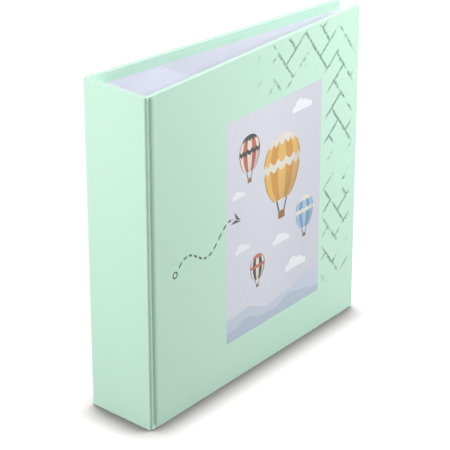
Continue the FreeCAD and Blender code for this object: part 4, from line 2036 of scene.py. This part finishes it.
@dataclass(frozen=True)
class Lamp:
    """A square soft lamp that looks at the album's middle."""

    name: str
    azimuth: float
    elevation: float
    distance: float
    size: float
    watts: float

    def hang(self, middle: Vector) -> None:
        """Hangs the lamp.

        Args:
            middle: What it looks at.
        """
        data = bpy.data.lights.new(self.name, "AREA")
        data.shape = "SQUARE"
        data.size = self.size
        data.energy = self.watts
        lamp = bpy.data.objects.new(self.name, data)
        away = direction(self.azimuth, self.elevation)
        lamp.location = middle + away * self.distance
        lamp.rotation_mode = "QUATERNION"
        lamp.rotation_quaternion = (-away).to_track_quat("-Z", "Y")
        bpy.context.scene.collection.objects.link(lamp)


def direction(azimuth: float, elevation: float) -> Vector:
    """The way out from the album, in degrees from the front cover to the fore-edge and up."""
    turn, rise = math.radians(azimuth), math.radians(elevation)
    return Vector((math.sin(turn) * math.cos(rise), -math.cos(turn) * math.cos(rise), math.sin(rise)))


@dataclass(frozen=True)
class Studio:
    """A white floor, soft lamps and the camera, in metres."""

    # each lamp's azimuth and elevation, its distance and size, and its watts
    lamps: tuple[Lamp, ...] = (
        Lamp("spine softbox", -106.0, 28.0, 1.6, 0.9, 16.6),
        Lamp("spine side light", -98.0, 14.0, 0.45, 0.3, 0.5),
        Lamp("cover softbox", 50.0, 32.0, 1.6, 0.8, 25.9),
        Lamp("cover side light", 46.0, 30.0, 0.6, 0.4, 1.22),
        Lamp("back softbox", 163.0, 12.0, 1.6, 0.9, 14.0),
    )
    ambient: float = 0.08
    floor_size: float = 20.0
    floor_drop: float = 0.00005
    # what the floor throws back at the album, and what is seen of its lit side beside its own light
    floor_bounce: Colour = (0.1, 0.1, 0.1, 1.0)
    floor_seen: Colour = (0.125, 0.118, 0.106, 1.0)
    # the painted shadow where the album meets the floor: how far it reaches out, the openness at which it is
    # full, how deep it is, how it falls off, the least light in it, and the way from which it is felt
    contact_reach: float = 0.023
    contact_full: float = 0.3
    contact_depth: float = 1.14
    contact_fall: float = 1.35
    contact_least: float = 0.1
    contact_lean: tuple[float, float, float] = (0.35, 0.35, 0.87)
    # the camera, and how far its aim is from the album's middle
    azimuth: float = -47.77
    elevation: float = 24.6
    distance: float = 1.3052
    lens: float = 159.7
    aim_right: float = -0.00814
    aim_up: float = -0.01337

    def build(self, low: Vector, high: Vector) -> None:
        """Sets up the studio round the album.

        Args:
            low: The album's lowest corner.
            high: The album's highest corner.
        """
        middle = (low + high) / 2
        self.lay_floor(low.z - self.floor_drop)
        self.light_sky()
        for lamp in self.lamps:
            lamp.hang(middle)
        self.set_camera(middle)

    def lay_floor(self, level: float) -> None:
        """Lays the floor.

        Args:
            level: Its height.
        """
        blank = bmesh.new()
        bmesh.ops.create_grid(blank, x_segments=1, y_segments=1, size=self.floor_size / 2)
        bmesh.ops.translate(blank, verts=blank.verts[:], vec=(0, 0, level))
        mesh = bpy.data.meshes.new("studio floor")
        blank.to_mesh(mesh)
        blank.free()
        mesh.materials.append(self.floor_material())
        floor = bpy.data.objects.new("studio_floor", mesh)
        bpy.context.scene.collection.objects.link(floor)
        floor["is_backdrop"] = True

    def floor_material(self) -> Material:
        """Makes the floor's finish, which looks white, keeps the album's real shadow in its lit part and has
        a painted shadow where the album stands.

        Returns:
            The material.
        """
        bench = ShaderBench("white studio floor")
        bench.tree.nodes.remove(bench.shader)
        unseen, seen = (bench.node("ShaderNodeBsdfDiffuse") for _ in range(2))
        bench.feed(unseen.inputs["Color"], self.floor_bounce)
        bench.feed(seen.inputs["Color"], self.floor_seen)
        glow = bench.node("ShaderNodeEmission")
        bench.feed(glow.inputs["Strength"], self.contact_light(bench))
        both = bench.node("ShaderNodeAddShader")
        bench.feed(both.inputs[0], seen.outputs[0])
        bench.feed(both.inputs[1], glow.outputs[0])
        pick = bench.node("ShaderNodeMixShader")
        for socket, fed in zip(pick.inputs, (bench.seen_directly(), unseen.outputs[0], both.outputs[0])):
            bench.feed(socket, fed)
        bench.feed(bench.tree.nodes["Material Output"].inputs["Surface"], pick.outputs[0])
        return bench.material

    def contact_light(self, bench: ShaderBench) -> NodeSocket:
        """The floor's own light, which fades where the album comes down to it, as a painted contact shadow.

        Args:
            bench: The floor's bench.

        Returns:
            The strength of the light.
        """
        lean = bench.node("ShaderNodeCombineXYZ")
        for socket, share in zip(lean.inputs, self.contact_lean):
            bench.feed(socket, share)
        near_by = bench.node("ShaderNodeAmbientOcclusion", samples=16)
        bench.feed(near_by.inputs["Distance"], self.contact_reach)
        bench.feed(near_by.inputs["Normal"], lean.outputs[0])
        # the floor's glow dims with its ambient occlusion: a painted contact shadow
        hidden = bench.ramp(near_by.outputs["AO"], 1.0, self.contact_full, change=Change.EVEN)
        fall = bench.math("POWER", hidden, self.contact_fall)
        level = bench.sum_of(1.0, (fall, -self.contact_depth))
        return bench.math("MAXIMUM", level, self.contact_least)

    def light_sky(self) -> None:
        """Lights the album evenly from all round, in front of a white backdrop."""
        world = bpy.data.worlds.new("studio backdrop")
        bpy.context.scene.world = world
        world.use_nodes = True
        bench = NodeBench(world.node_tree)
        background = bench.tree.nodes["Background"]
        bench.feed(background.inputs["Color"], (1.0, 1.0, 1.0, 1.0))
        level = bench.ramp(bench.seen_directly(), 0.0, 1.0, self.ambient, 1.0, Change.EVEN)
        bench.feed(background.inputs["Strength"], level)

    def set_camera(self, middle: Vector) -> None:
        """Sets up the camera.

        Args:
            middle: The album's middle.
        """
        scene = bpy.context.scene
        data = bpy.data.cameras.new("studio camera")
        data.lens = self.lens
        data.clip_end = 50.0
        camera = bpy.data.objects.new("studio camera", data)
        away = direction(self.azimuth, self.elevation)
        turn = (-away).to_track_quat("-Z", "Y")
        aside = turn @ Vector((self.aim_right, self.aim_up, 0))
        camera.location = middle + away * self.distance + aside
        camera.rotation_mode = "QUATERNION"
        camera.rotation_quaternion = turn
        scene.collection.objects.link(camera)
        scene.camera = camera
        scene.view_settings.view_transform = "Standard"


# ---------------------------------------------------------------------------
# the whole
# ---------------------------------------------------------------------------


def main() -> None:
    """Builds the album's looks round its frame, and the studio."""
    logging.basicConfig(level=logging.INFO, format="%(name)s: %(message)s")
    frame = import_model()
    cad_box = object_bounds()
    places = Places(frame)
    Case(frame, places).build()
    Block(frame, places).build()
    Studio().build(*cad_box)


if __name__ == "__main__":
    main()
